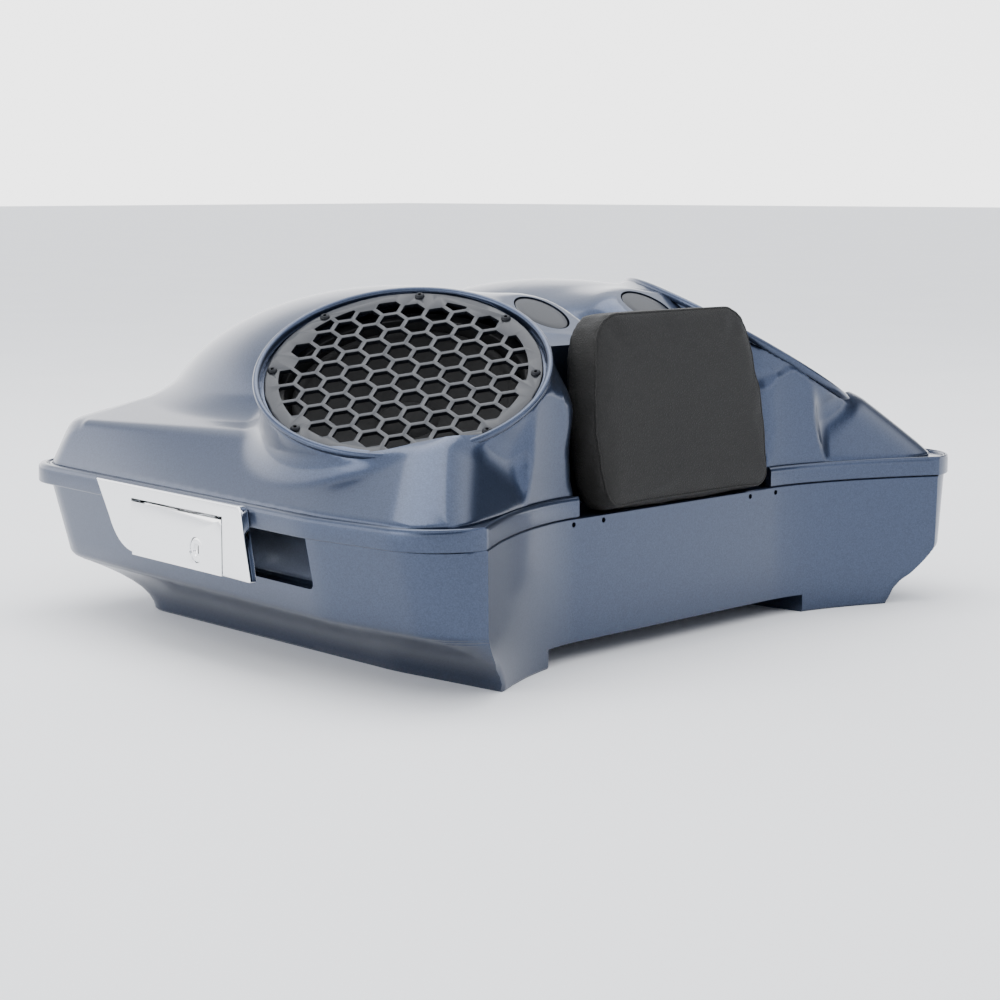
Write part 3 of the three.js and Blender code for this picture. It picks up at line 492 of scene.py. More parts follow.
def lid_form(x, y, z, wall=0):
    """How far a point is outside the skin of the lid, or of its hollow when it has a wall."""
    x = np.abs(x)
    bend = y - SHOULDER_Y
    base = HALF_WIDTH - BODY_INSET - SIDE_SLOPE * (bend + np.sqrt(bend ** 2 + 20 ** 2)) / 2
    along = np.clip((REAR_Y - y) / (REAR_Y - SHOULDER_Y), 0, 1)
    ridge = 152 + 13 * along
    lean = np.clip((z - RIM_TOP) / (ridge - RIM_TOP), 0, None)
    tuck = 10 + 39 * along
    back = REAR_Y - BODY_INSET + REAR_CROWN * (1 - (x / REAR_HALF) ** 2)
    nose = NOSE_Y + BODY_INSET
    front = front_wall(np.minimum(x, 285)) + BODY_FRONT
    side_face = (x - base + tuck * lean) / np.sqrt(1 + (tuck / (ridge - RIM_TOP)) ** 2)
    rear_face = (y - back + 10 * lean) * 0.95
    nose_face = (nose + 30 * lean - y) * 0.82
    front_face = (front + 22 * lean - y) * 0.82
    walls = both(both(both(side_face, rear_face, 36), nose_face, 39), front_face, 30)
    side_deck = (z - ridge - 0.246 * (base - tuck - x)) * 0.97
    rear_deck = (z - ridge - 0.55 * (back - 10 - y)) * 0.876
    deck = both(both(side_deck, rear_deck, 14), z - 186, 14)
    body = both(walls, deck, 3.5)

    def tail(way):
        a, b, c = (x * way - 88) / 132, (y + 14) / 256, (z - 134) / 128
        size = np.sqrt(a ** 2 + b ** 2 + c ** 2) + 1e-9
        slope = np.sqrt((a / 132) ** 2 + (b / 256) ** 2 + (c / 128) ** 2) + 1e-9
        return (size - 1) * size / slope
    face = math.cos(HUMP_SLOPE) * (z - HUMP_Z) - math.sin(HUMP_SLOPE) * (y - HUMP_Y)
    tails = both(either(tail(1), tail(-1), 14), face + 7, 3)
    out = np.stack([x - RING_X, y - RING_Y, z - RING_Z])
    rise = RING_NORMAL.x * out[0] + RING_NORMAL.y * out[1] + RING_NORMAL.z * out[2]
    reach = np.sqrt(np.maximum(0, (out ** 2).sum(0) - rise ** 2))
    flare = np.clip((-rise - 20) / 92, 0, 1.2)
    neck = (reach - 104.5 - 62 * flare ** 3) / np.sqrt(1 + (186 / 92 * flare ** 2) ** 2)
    pod = both(neck, rise + (12 if wall else 5), 2.5)
    crest = z - (HUMP_Z - 6 - HUMP_FALL * (y - HUMP_Y))
    off = x - HUMP_X
    size = np.sqrt((off / HUMP_RADIUS) ** 2 + (crest / 26) ** 2) + 1e-9
    slope = np.sqrt((off / HUMP_RADIUS ** 2) ** 2 + (crest / 26 ** 2) ** 2) + 1e-9
    run = np.where(crest > 0, (size - 1) * size / slope, np.abs(off) - HUMP_RADIUS)
    hump = both(run, face + (8 if wall else 0), 2.5)
    step = both(np.maximum(x - 112, y + 60), z - 224, 3)
    step = np.maximum(step, NOTCH_Y - 2 - y)
    form = either(either(body, tails, 16), pod, 14)
    form = either(either(form, hump, 9), step, 9)
    skirt = both(both(both(x - base, (y - back), 36), nose - y, 39), (front - y) * 0.9, 3)
    form = both(form, skirt, 1.5)
    half = NOTCH_HALF + (NOTCH_TOP_HALF - NOTCH_HALF) * np.clip((z - 150) / 35, 0, 1)
    notch = np.maximum(x - half, y - NOTCH_Y)
    form = both(form, -notch, 5) + wall
    return np.maximum(form, (LID_INSIDE_FLOOR if wall else RIM_TOP - 6) - z)


def evened(obj, voxel):
    """The same solid in small faces of one size."""
    even = obj.modifiers.new("even", "REMESH")
    even.mode = "VOXEL"
    even.voxel_size = voxel * MM
    return settled(obj)


def lid_blank(low, shrink, voxel):
    """A rough solid of the lid in even small faces, for the form to pull tight."""
    bm = bmesh.new()
    base = outline(BODY_INSET + shrink, front=BODY_FRONT + shrink, front_radius=39, rear_radius=39)
    ridge = outline(58 + shrink, 19 + shrink, 19 + shrink, BODY_FRONT + 8, 40, 40)
    crown = outline(200, 145, 110, BODY_FRONT + 16, 30, 30)
    loft(bm, [loop_at(bm, base, low), loop_at(bm, base, RIM_TOP), loop_at(bm, ridge, 156 - shrink),
              loop_at(bm, crown, 184 - shrink)])
    for side in (-1, 1):
        normal = Vector((side * RING_NORMAL.x, RING_NORMAL.y, RING_NORMAL.z))
        middle = Vector((side * RING_X, RING_Y, RING_Z)) - normal * (45 + shrink)
        turn = normal.to_track_quat("Z", "Y").to_matrix().to_4x4()
        bmesh.ops.create_cone(bm, cap_ends=True, segments=72, radius1=(112 - shrink) * MM,
                              radius2=(105 - shrink) * MM, depth=80 * MM,
                              matrix=Matrix.Translation(middle * MM) @ turn)
        size = Matrix.Diagonal(((132 - shrink) * MM, (250 - shrink) * MM, (128 - shrink) * MM, 1))
        place = Matrix.Translation((side * 88 * MM, -14 * MM, 134 * MM))
        tail = bmesh.ops.create_uvsphere(bm, u_segments=48, v_segments=24, radius=1, matrix=place @ size)
        for v in tail["verts"]:
            v.co.y = max(v.co.y, -165 * MM)
            slope = (HUMP_Z - 10 - shrink + (v.co.y / MM - HUMP_Y) * math.tan(HUMP_SLOPE)) * MM
            v.co.z = min(max(v.co.z, 118 * MM), slope)
        hump = box(bm, (side * HUMP_X - 40 + shrink, -160, 200),
                   (side * HUMP_X + 40 - shrink, 60, 262 - shrink))
        for v in hump:
            if v.co.z > 0.21:
                v.co.z = (HUMP_Z - shrink + (v.co.y / MM - HUMP_Y) * 0.57) * MM if v.co.y < -0.1 else 0.222
    box(bm, (-112 + shrink, -169, 150), (112 - shrink, -60, 224 - shrink))
    for v in bm.verts:
        v.co.y = max(v.co.y, (front_wall(v.co.x / MM) + BODY_FRONT + shrink) * MM)
    blank = evened(solid(bm, "lid_blank"), voxel)
    return evened(worked(blank, "DIFFERENCE", notch_block(shrink, 0)), voxel)


def smoothed(bm, verts, rounds):
    """Evens out part of a surface."""
    for _ in range(rounds):
        bmesh.ops.smooth_vert(bm, verts=verts, factor=0.5, use_axis_x=True, use_axis_y=True,
                              use_axis_z=True)


def pulled_tight(blank, form, rounds=6):
    """Moves every point of a blank on to the form, evening out the spacing between."""
    for turn in range(rounds):
        mesh = blank.data
        spots = np.empty(len(mesh.vertices) * 3)
        mesh.vertices.foreach_get("co", spots)
        spots = spots.reshape(-1, 3).T / MM
        for _ in range(4):
            here = form(*spots)
            slope = np.stack([
                (form(*(spots + offset)) - form(*(spots - offset))) / 0.6
                for offset in np.eye(3)[:, :, None] * 0.3])
            steep = np.maximum((slope ** 2).sum(0), 0.2)
            move = slope * np.clip(here, -5, 5) / steep
            spots -= move
        mesh.vertices.foreach_set("co", (spots.T * MM).ravel())
        if turn < rounds - 1:
            bm = bmesh.new()
            bm.from_mesh(mesh)
            smoothed(bm, bm.verts, 1)
            bm.to_mesh(mesh)
            bm.free()
        mesh.update()
    return blank


def relaxed(obj, rounds, where):
    """Smooths the part of an object for which where(x, y, z) holds, in mm."""
    bm = bmesh.new()
    bm.from_mesh(obj.data)
    chosen = [v for v in bm.verts if where(*(v.co / MM))]
    smoothed(bm, chosen, rounds)
    bm.to_mesh(obj.data)
    bm.free()


lid = pulled_tight(lid_blank(RIM_TOP - 6, 0, 3), lid_form)
relaxed(lid, 24, lambda x, y, z: y > 200 and abs(x) < 240 and z > 122)
relaxed(lid, 14, lambda x, y, z: z > 195 and abs(x) < 112 and -163 < y < 0)
relaxed(lid, 14, lambda x, y, z: z > 122 and y < NOTCH_Y + 8 and abs(x) < NOTCH_HALF + 12)
hollow = pulled_tight(lid_blank(LID_INSIDE_FLOOR, WALL, 7), lambda x, y, z: lid_form(x, y, z, WALL), 3)

rim = bmesh.new()
rim_section = [(1.2, RIM_BOTTOM), (0.3, RIM_BOTTOM + 0.4), (0, RIM_BOTTOM + 1.3), (0, 112),
               (0, 115.5), (0.4, 117.2), (1.4, 118.5), (3.0, RIM_TOP), (4.4, RIM_TOP),
               (5.0, 117.4), (6.0, 117.2), (6.5, 118.4), (7.5, 118.4), (8.0, 117.0), (8.8, 116.8), (14, 116.8)]
rings = []
for inset, z in rim_section:
    ahead = min(inset, 0.6 * inset + 0.4)
    rings.append(loop_at(rim, outline(inset, front=ahead), z))
loft(rim, rings)
worked(lid, "UNION", solid(rim))
worked(lid, "DIFFERENCE", ring_block(RIM_BOTTOM - 5, 114.5, RIM_WALL, RIM_WALL + 0.5, 49))
worked(lid, "DIFFERENCE", hollow)
worked(lid, "DIFFERENCE", notch_block(1.8, RIM_BOTTOM - 20))


def pod_place(side, rise=0):
    """The frame of a pod: z along its normal, x level."""
    normal = Vector((side * RING_NORMAL.x, RING_NORMAL.y, RING_NORMAL.z))
    level = Vector((0, 0, 1)).cross(normal).normalized()
    turn = Matrix((level, normal.cross(level), normal)).transposed().to_4x4()
    middle = Vector((side * RING_X, RING_Y, RING_Z)) + normal * rise
    return Matrix.Translation(middle * MM) @ turn


def hump_place(side, rise=0):
    """The frame of a hump's face."""
    turn = Matrix.Rotation(HUMP_SLOPE, 4, "X")
    middle = Vector((side * HUMP_X, HUMP_Y, HUMP_Z)) + turn @ Vector((0, 0, rise))
    return Matrix.Translation(middle * MM) @ turn


def spun(bm, profile, place, steps=96, closed=False):
    """Turns a profile of (radius, height) about the z of a frame."""
    verts = [bm.verts.new((r * MM, 0, h * MM)) for r, h in profile]
    edges = [bm.edges.new(pair) for pair in zip(verts, verts[1:])]
    if closed:
        edges.append(bm.edges.new((verts[-1], verts[0])))
    before = set(bm.verts) - set(verts)
    bmesh.ops.spin(bm, geom=verts + edges, cent=(0, 0, 0), axis=(0, 0, 1), dvec=(0, 0, 0),
                   angle=2 * math.pi, steps=steps, use_merge=True, use_duplicate=False)
    made = [v for v in bm.verts if v not in before]
    bmesh.ops.transform(bm, matrix=place, verts=made)
    bmesh.ops.remove_doubles(bm, verts=made, dist=1e-6)
    return made


for side in (-1, 1):
    seat = RECESS_DEPTH + GRILLE_THICK + 0.3
    bore = bmesh.new()
    spun(bore, [(0, 40), (RING_BORE + 1, 40), (RING_BORE + 1, -seat), (RING_SEAT, -seat),
                (RING_SEAT, -30), (0, -30)], pod_place(side))
    worked(lid, "DIFFERENCE", solid(bore))
    # the face of the hump is planed flat, 0.8 mm below its rounded form
    shave = bmesh.new()
    planed = Matrix.Diagonal((88 * MM, 100 * MM, 40 * MM, 1))
    above = hump_place(side, 20 - 0.8) @ Matrix.Translation((0, 6 * MM, 0))
    bmesh.ops.create_cube(shave, size=1, matrix=above @ planed)
    worked(lid, "DIFFERENCE", solid(shave))
    pocket = bmesh.new()
    spun(pocket, [(0, 60), (POCKET_RADIUS + 1, 60), (POCKET_RADIUS + 1, 0.4), (POCKET_RADIUS, -0.6),
                  (POCKET_RADIUS, -POCKET_DEPTH), (0, -POCKET_DEPTH)], hump_place(side), 64)
    worked(lid, "DIFFERENCE", solid(pocket))
lid.name = "painted_lid"
dressed(lid, paint, "lid", "paint", "lid_shell", angle=50)

# ---- Pod rims -----------------------------------------------------------------------
# A rolled bead round each speaker opening, moulded with the lid and painted with it.
# It stands a little proud of the neck, so that a dark line runs round below it.

BEAD, BEAD_MIDDLE, BEAD_RISE = 2.3, 104.6, -2.4

for name, side in SIDES:
    bead = bmesh.new()
    arc = np.radians(np.arange(0, 181, 20))
    crown = [(BEAD_MIDDLE + BEAD * math.cos(a), BEAD_RISE + BEAD * math.sin(a)) for a in arc]
    outer = [(102.6, -6.4), (105.2, -6.2), (106.6, -4.4)]
    inner = [(102.0, -5), (101.6, -8.2), (100.4, -9.4), (100.4, -12), (102.6, -12), (102.6, -9)]
    spun(bead, outer + crown + inner, pod_place(side), 128, closed=True)
    dressed(solid(bead, f"pod_rim_{name}"), paint, "lid", "paint", angle=40)

# ---- Grilles ------------------------------------------------------------------------
# A flat moulded plate over each speaker, painted like the lid. Its hexagonal holes run
# a little askew and are cut off by a circle at the edge; eight screws hold it down.

PLATE_RADIUS, HOLE_FIELD = 99.6, 89
HEX_PITCH, HEX_RIB, HEX_TURN, HEX_START = 19.4, 3.2, -0.25, Vector((4.6, -12.7))
SCREW_CIRCLE, SCREW_COUNT, SCREW_HOLE = 94.5, 8, 2.4
PLATE_TILT = math.radians(2.2)


def plate_place(side, rise=0):
    """The frame of a grille's face, which stands higher at the front of its recess."""
    tilt = Matrix.Rotation(PLATE_TILT, 4, "X")
    return pod_place(side, -RECESS_DEPTH) @ tilt @ Matrix.Translation((0, 0, rise * MM))


def hexagon_tools(place):
    """All the holes of a grille as one tool, trimmed to the round field."""
    bm = bmesh.new()
    row_height = HEX_PITCH * math.sqrt(0.75)
    size = (HEX_PITCH - HEX_RIB) / math.sqrt(3)
    for row in range(-7, 8):
        for column in range(-8, 9):
            spot = Vector(((column + row % 2 / 2) * HEX_PITCH, row * row_height))
            spot = Matrix.Rotation(HEX_TURN, 2) @ spot + HEX_START
            if spot.length > HOLE_FIELD + 1:
                continue
            here = place @ Matrix.Translation((spot.x * MM, spot.y * MM, 0))
            drum(bm, here @ Matrix.Rotation(HEX_TURN, 4, "Z"), size, 20, 6)
    field = bmesh.new()
    drum(field, place, HOLE_FIELD, 30, 96)
    return worked(solid(bm), "INTERSECT", solid(field))


def screw_spots():
    """Where the screws stand on the plate."""
    turns = [2 * math.pi * i / SCREW_COUNT for i in range(SCREW_COUNT)]
    return [Vector((SCREW_CIRCLE * math.cos(a), SCREW_CIRCLE * math.sin(a), 0)) for a in turns]


def softened(obj, offset, segments=2, angle=25):
    """Rounds every sharp edge of an object a little, as a mould or a tumbler does."""
    bm = bmesh.new()
    bm.from_mesh(obj.data)
    bmesh.ops.remove_doubles(bm, verts=bm.verts, dist=2e-5)
    bmesh.ops.dissolve_limit(bm, angle_limit=math.radians(3), verts=bm.verts, edges=bm.edges,
                             use_dissolve_boundaries=False, delimit=set())
    sharp = [e for e in bm.edges if e.is_manifold and e.calc_face_angle(0) > math.radians(angle)]
    bmesh.ops.bevel(bm, geom=sharp, offset=offset * MM, affect="EDGES", segments=segments, profile=0.5,
                    material=-1, clamp_overlap=True, offset_type="OFFSET")
    bmesh.ops.recalc_face_normals(bm, faces=bm.faces)
    bm.to_mesh(obj.data)
    bm.free()
    return obj


def satin_paint():
    """The same base coat sprayed over a moulded plate with less clear coat: a satin
    blue-grey that reads nearly neutral under the sky."""
    material, tree, shader, place = new_material("satin base coat on ABS")
    # flakes of 0.05 mm, drawn at 0.8 mm so that they show
    flakes = add(tree, "ShaderNodeTexVoronoi", Vector=place, Scale=1 / 0.0008)
    tone = add(tree, "ShaderNodeValToRGB", {"stops": [(0, "0e1117"), (1, "141922")]},
               Fac=flakes.outputs["Color"])
    fed(tree, shader, Base_Color=tone.outputs["Color"], Metallic=0.6, Roughness=0.4,
        Coat_Weight=0.25)
    return material


plate_paint = satin_paint()
for name, side in SIDES:
    disc = bmesh.new()
    spun(disc, [(0, 0), (97.6, 0), (98.9, -0.5), (PLATE_RADIUS, -1.6), (PLATE_RADIUS, -GRILLE_THICK),
                (0, -GRILLE_THICK)], plate_place(side), 128)
    grille = solid(disc, f"grille_plate_{name}")
    worked(grille, "DIFFERENCE", hexagon_tools(plate_place(side, -GRILLE_THICK / 2)))
    for spot in screw_spots():
        drill = bmesh.new()
        drum(drill, plate_place(side) @ Matrix.Translation(spot * MM), SCREW_HOLE, 20, 20)
        worked(grille, "DIFFERENCE", solid(drill))
    softened(grille, 0.35, 2, 40)
    dressed(grille, plate_paint, "lid", "paint", f"grille_{name}", angle=30)

# ---- Grille screws ------------------------------------------------------------------
# M4 button-head screws of black-oxide steel, driven from outside into the speaker
# seat. Each has a hexagon socket.


def black_oxide():
    """Blackened carbon steel: dark, dry and a little uneven, with thin oiled gloss."""
    material, tree, shader, place = new_material("black-oxide steel")
    # patches of thicker oxide about 1.5 mm across
    patches = add(tree, "ShaderNodeTexNoise", Vector=place, Scale=1 / 0.0015, Detail=3)
    tone = add(tree, "ShaderNodeValToRGB", {"stops": [(0, "0e0f12"), (1, "24262b")]},
               Fac=patches.outputs["Fac"])
    rough = add(tree, "ShaderNodeMapRange", Value=patches.outputs["Fac"], To_Min=0.32, To_Max=0.5)
    fed(tree, shader, Base_Color=tone.outputs["Color"], Roughness=rough.outputs["Result"],
        Metallic=0.7)
    return material


blackened = black_oxide()
for name, side in SIDES:
    for i, spot in enumerate(screw_spots()):
        screw = bmesh.new()
        head = [(0, 0.6), (1.25, 0.6), (1.25, 1.6), (1.7, 1.75), (2.7, 1.45), (3.4, 0.8), (3.6, 0.15),
                (2, 0.15), (2, -GRILLE_THICK), (0, -GRILLE_THICK)]
        here = plate_place(side) @ Matrix.Translation(spot * MM)
        spun(screw, head, here, 24)
        dressed(solid(screw, f"button_screw_{name}_{i + 1}"), blackened, "lid", "steel",
                f"grille_screw_{name}_{i + 1}", angle=35)

# ---- Speakers -----------------------------------------------------------------------
# An 8-inch driver hangs under each seat: a black pressed basket with its magnet, and a
# pressed paper cone on a rubber roll that moves along the pod's axis.


def moulded_black():
    """Black ABS with the fine spark-eroded texture of its mould."""
    material, tree, shader, place = new_material("textured black ABS")
    # spark-erosion grain of 0.2 mm, drawn at 0.7 mm
    grain = add(tree, "ShaderNodeTexNoise", Vector=place, Scale=1 / 0.0007, Detail=2)
    bump = add(tree, "ShaderNodeBump", Height=grain.outputs["Fac"], Strength=0.25, Distance=0.0002)
    tone = add(tree, "ShaderNodeValToRGB", {"stops": [(0, "070708"), (1, "101113")]},
               Fac=grain.outputs["Fac"])
    fed(tree, shader, Base_Color=tone.outputs["Color"], Normal=bump.outputs["Normal"],
        Roughness=0.55)
    return material


def pulp():
    """Pressed paper pulp dyed black: matt, with short fibres that catch the light."""
    material, tree, shader, place = new_material("pressed paper pulp")
    # fibres about 2 mm long
    fibres = add(tree, "ShaderNodeTexNoise", Vector=place, Scale=1 / 0.002, Detail=6, Roughness=0.7)
    tone = add(tree, "ShaderNodeValToRGB", {"stops": [(0, "050506"), (1, "0b0b0c")]},
               Fac=fibres.outputs["Fac"])
    bump = add(tree, "ShaderNodeBump", Height=fibres.outputs["Fac"], Strength=0.3, Distance=0.0003)
    fed(tree, shader, Base_Color=tone.outputs["Color"], Normal=bump.outputs["Normal"],
        Roughness=0.85)
    return material


abs_black, paper = moulded_black(), pulp()
basket_outside = [(0, -84), (43, -84), (44.4, -83.4), (45, -82), (45, -65), (46, -63.6), (60, -60),
                  (74, -46), (87, -30.6), (88.4, -29), (94.4, -20), (95, -19), (95, -17.4), (94.4, -16.6)]
basket_inside = [(86.6, -16.6), (86, -17.2), (84, -30), (56, -56), (30, -58), (0, -58)]
ROLL, ROLL_MIDDLE, ROLL_RISE = 3.6, 78, -25.6
arc = np.radians(np.arange(170, -11, -20))
surround = [(ROLL_MIDDLE + ROLL * math.cos(a), ROLL_RISE + ROLL * math.sin(a)) for a in arc]
dust_cap = [(24 * math.sin(a), -50.5 + 9.5 * math.cos(a)) for a in np.radians(np.arange(0, 80, 10))]
cone_front = dust_cap + [(25.5, -45.6), (28, -44.5), (50, -35.6), (73, -26.4)] + surround
cone_back = [(80, -28.5), (76, -29.5), (30, -48), (20, -49), (0, -49)]

for name, side in SIDES:
    basket = bmesh.new()
    spun(basket, basket_outside + basket_inside, pod_place(side), 72)
    dressed(solid(basket, f"speaker_basket_{name}"), abs_black, "lid", "black_plastic",
            f"speaker_frame_{name}", angle=25)
    cone = bmesh.new()
    spun(cone, cone_front + cone_back, pod_place(side), 72)
    dressed(solid(cone, f"paper_cone_{name}"), paper, f"cone_{name}", "cone_paper",
            f"speaker_cone_{name}", angle=30)

# ---- Blanking plugs -----------------------------------------------------------------
# A round painted cover closes the pocket on the face of each hump. It sits a little
# below the face, so a dark line of shade shows round its upper edge.

for name, side in SIDES:
    plug = bmesh.new()
    spun(plug, [(0, -1.0), (14, -1.05), (20, -1.3), (21, -1.6), (21.4, -2.4), (21.4, -7.6), (0, -7.6)],
         hump_place(side), 64)
    dressed(solid(plug, f"round_plug_{name}"), plate_paint, "lid", "paint",
            f"blanking_plug_{name}", angle=30)

# ---- Backrest pad -------------------------------------------------------------------
# A foam cushion in charcoal vinyl with a welted seam round its front face. The cover is
# drawn tight over the foam and stapled to the board behind it.

PAD_HEIGHT, PAD_HALF, PAD_TOP_HALF, PAD_FOAM = 145, 104, 90, 29
PAD_LEAN, PAD_LOW, PAD_FACE, PAD_REST = 0.149, 107, -225, 104.2
PAD_START, PAD_VOXEL, PUFF_CAP, PUFF_FRAMES = 0.6, 4.5, 2.0, 20
pad_up = Vector((0, PAD_LEAN, 1)).normalized()
pad_forward = Vector((1, 0, 0)).cross(pad_up).normalized()


def pad_point(x, rise, depth):
    """A point of the backrest: across, up the pad, and back from its face."""
    return (Vector((x, PAD_FACE, PAD_LOW)) + pad_up * rise - pad_forward * depth) * MM


def ahead_of_face(spot):
    """How far a point stands ahead of the face of the pad."""
    return (spot / MM - Vector((0, PAD_FACE, PAD_LOW))).dot(pad_forward)


def pad_outline(shrink, steps=8):
    """The face of the pad: narrow at the foot, widest below the middle, round at the top."""
    low = Vector((PAD_HALF - 6 - shrink, shrink))
    waist = Vector((PAD_HALF - shrink, PAD_HEIGHT * 0.42))
    high = Vector((PAD_TOP_HALF - shrink, PAD_HEIGHT - shrink))
    right = arc_between(Vector((0, shrink)), low, waist, 16, steps)
    right += arc_between(low, waist, high, 120, steps)
    right += arc_between(waist, high, Vector((0, PAD_HEIGHT - shrink)), 30, steps)
    return right + [Vector((-p.x, p.y)) for p in reversed(right)]


def charcoal_vinyl():
    """Embossed upholstery vinyl: charcoal with a warm cast, a fine pebbled grain pressed
    into it, and a low sheen that rises in the creases of the grain."""
    material, tree, shader, place = new_material("embossed charcoal vinyl")
    # pebbles of the grain are about 1 mm across and are drawn at 2 mm so that they show;
    # finer pores of 0.4 mm lie between them
    warp = add(tree, "ShaderNodeTexNoise", Vector=place, Scale=1 / 0.006, Detail=2)
    moved = add(tree, "ShaderNodeVectorMath", {"operation": "MULTIPLY_ADD"}, i0=warp.outputs["Color"],
                i1=(0.0012, 0.0012, 0.0012), i2=place)
    pebble = add(tree, "ShaderNodeTexVoronoi", {"feature": "DISTANCE_TO_EDGE"},
                 Vector=moved.outputs[0], Scale=1 / 0.002)
    pores = add(tree, "ShaderNodeTexNoise", Vector=place, Scale=1 / 0.0004, Detail=2)
    grain = add(tree, "ShaderNodeMath", {"operation": "MULTIPLY_ADD"}, i0=pores.outputs["Fac"], i1=0.3,
                i2=pebble.outputs["Distance"])
    cloud = add(tree, "ShaderNodeTexNoise", Vector=place, Scale=1 / 0.05, Detail=3)
    tone = add(tree, "ShaderNodeValToRGB", {"stops": [(0.3, "0b0a08"), (0.7, "0f0e0b")]},
               Fac=cloud.outputs["Fac"])
    rough = add(tree, "ShaderNodeMapRange", Value=pebble.outputs["Distance"], To_Min=0.7, To_Max=0.5)
    bump = add(tree, "ShaderNodeBump", Height=grain.outputs[0], Strength=0.9, Distance=0.0006)
    fed(tree, shader, Base_Color=tone.outputs["Color"], Roughness=rough.outputs["Result"],
        Normal=bump.outputs["Normal"], Specular_IOR_Level=0.4)
    return material


vinyl = charcoal_vinyl()
core = bmesh.new()
cover = core.faces.new([core.verts.new(pad_point(p.x, p.y, PAD_FOAM)) for p in pad_outline(PAD_START)])
swept = bmesh.ops.extrude_face_region(core, geom=[cover])
bmesh.ops.translate(core, verts=[v for v in swept["geom"] if isinstance(v, bmesh.types.BMVert)],
                    vec=pad_forward * (PAD_FOAM - PAD_START) * MM)
edges = [e for e in core.edges if all(ahead_of_face(v.co) > -9 for v in e.verts)]
bevelled(core, edges, 4, 2)
pad = evened(solid(core, "backrest_cushion"), PAD_VOXEL)

start = [v.co.copy() for v in pad.data.vertices]
stapled = pad.vertex_groups.new(name="stapled")
for v in pad.data.vertices:
    if ahead_of_face(v.co) < -PAD_FOAM + 4:
        stapled.add([v.index], 1.0, "REPLACE")
puff = pad.modifiers.new("puff", "CLOTH")
puff.settings.use_pressure = True
puff.settings.uniform_pressure_force = 7
puff.settings.vertex_group_mass = "stapled"
puff.settings.effector_weights.gravity = 0
puff.settings.tension_stiffness = 30
puff.settings.compression_stiffness = 30
puff.settings.bending_stiffness = 2
puff.point_cache.frame_start = 1
puff.point_cache.frame_end = PUFF_FRAMES
for number in range(1, PUFF_FRAMES + 1):
    bpy.context.scene.frame_set(number)
settled(pad)
bpy.context.scene.frame_set(1)
for v, old in zip(pad.data.vertices, start):
    move = v.co - old
    if move.length > PUFF_CAP * MM:
        v.co = old + move * (PUFF_CAP * MM / move.length)
finer = pad.modifiers.new("finer", "SUBSURF")
finer.levels = 1
finer.render_levels = 1
settled(pad)
pad.vertex_groups.clear()
crown = bmesh.new()
crown.from_mesh(pad.data)
smoothed(crown, crown.verts, 3)
for v in crown.verts:
    v.co.z = max(v.co.z, PAD_REST * MM)
crown.to_mesh(pad.data)
skin = BVHTree.FromBMesh(crown)
crown.free()
dressed(pad, vinyl, "tub", "vinyl", "backrest_pad", angle=80)

# ---- Pad welt -----------------------------------------------------------------------
# A thin welt of the same vinyl, sewn into the seam between the front panel and the side
# panel and lying on the rounded edge of the cushion.

WELT_RADIUS = 0.9
seam = bpy.data.curves.new("seam", "CURVE")
seam.dimensions = "3D"
seam.bevel_depth = WELT_RADIUS * MM
seam.bevel_resolution = 3
stitches = pad_outline(1.2, 14)
straight = []
for p, q in zip(stitches, stitches[1:] + stitches[:1]):
    parts = max(1, round((q - p).length / 5))
    straight += [p.lerp(q, i / parts) for i in range(parts)]
spline = seam.splines.new("POLY")
spline.points.add(len(straight) - 1)
spline.use_cyclic_u = True
for knot, p in zip(spline.points, straight):
    spot, normal, _, _ = skin.find_nearest(pad_point(p.x, p.y, 1.0))
    knot.co = (*(spot + normal * 0.1 * MM), 1)
welt = bpy.data.objects.new("pad_welt", seam)
bpy.context.scene.collection.objects.link(welt)
graph = bpy.context.evaluated_depsgraph_get()
welt_mesh = bpy.data.meshes.new_from_object(welt.evaluated_get(graph))
welt_piece = bpy.data.objects.new("pad_welt_cord", welt_mesh)
bpy.data.objects.remove(welt)
bpy.context.scene.collection.objects.link(welt_piece)
dressed(welt_piece, vinyl, "tub", "vinyl", angle=80)

# ---- Backrest board and bracket -----------------------------------------------------
# The cushion is stapled to a black plastic board. A zinc-plated steel bracket bolts to
# the board and stands on the shelf of the tub.


def from_cad(node, name, offset, segments=2):
    """A copy of a CAD node with its edges rounded by the offset, or left sharp at 0."""
    copy = bpy.data.objects.new(name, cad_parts[node].data.copy())
    bpy.context.scene.collection.objects.link(copy)
    return softened(copy, offset, segments) if offset else copy


def rounded(node, name, offset, material, body, slot, segments=2, angle=35):
    """Puts a rounded copy of a CAD node in its place."""
    return dressed(from_cad(node, name, offset, segments), material, body, slot, node, angle=angle)


def zinc_plate():
    """Bright zinc plating over pressed steel: pale, softly spangled grey."""
    material, tree, shader, place = new_material("bright zinc-plated steel")
    # plating spangle about 3 mm across
    spangle = add(tree, "ShaderNodeTexVoronoi", Vector=place, Scale=1 / 0.003)
    rough = add(tree, "ShaderNodeMapRange", Value=spangle.outputs["Distance"], To_Min=0.26, To_Max=0.4)
    tone = add(tree, "ShaderNodeValToRGB", {"stops": [(0, "a9adb2"), (1, "bfc3c6")]},
               Fac=spangle.outputs["Color"])
    fed(tree, shader, Base_Color=tone.outputs["Color"], Roughness=rough.outputs["Result"],
        Metallic=1)
    return material


zinc = zinc_plate()
board = evened(from_cad("backrest_board", "pad_board", 0), 1.6)
dressed(board, abs_black, "tub", "black_plastic", "backrest_board")
rounded("backrest_bracket", "pad_bracket", 0.5, zinc, "tub", "steel")
for i in (1, 2):
    rounded(f"backrest_bolt_{i}", f"pad_bolt_{i}", 0.4, zinc, "tub", "steel")

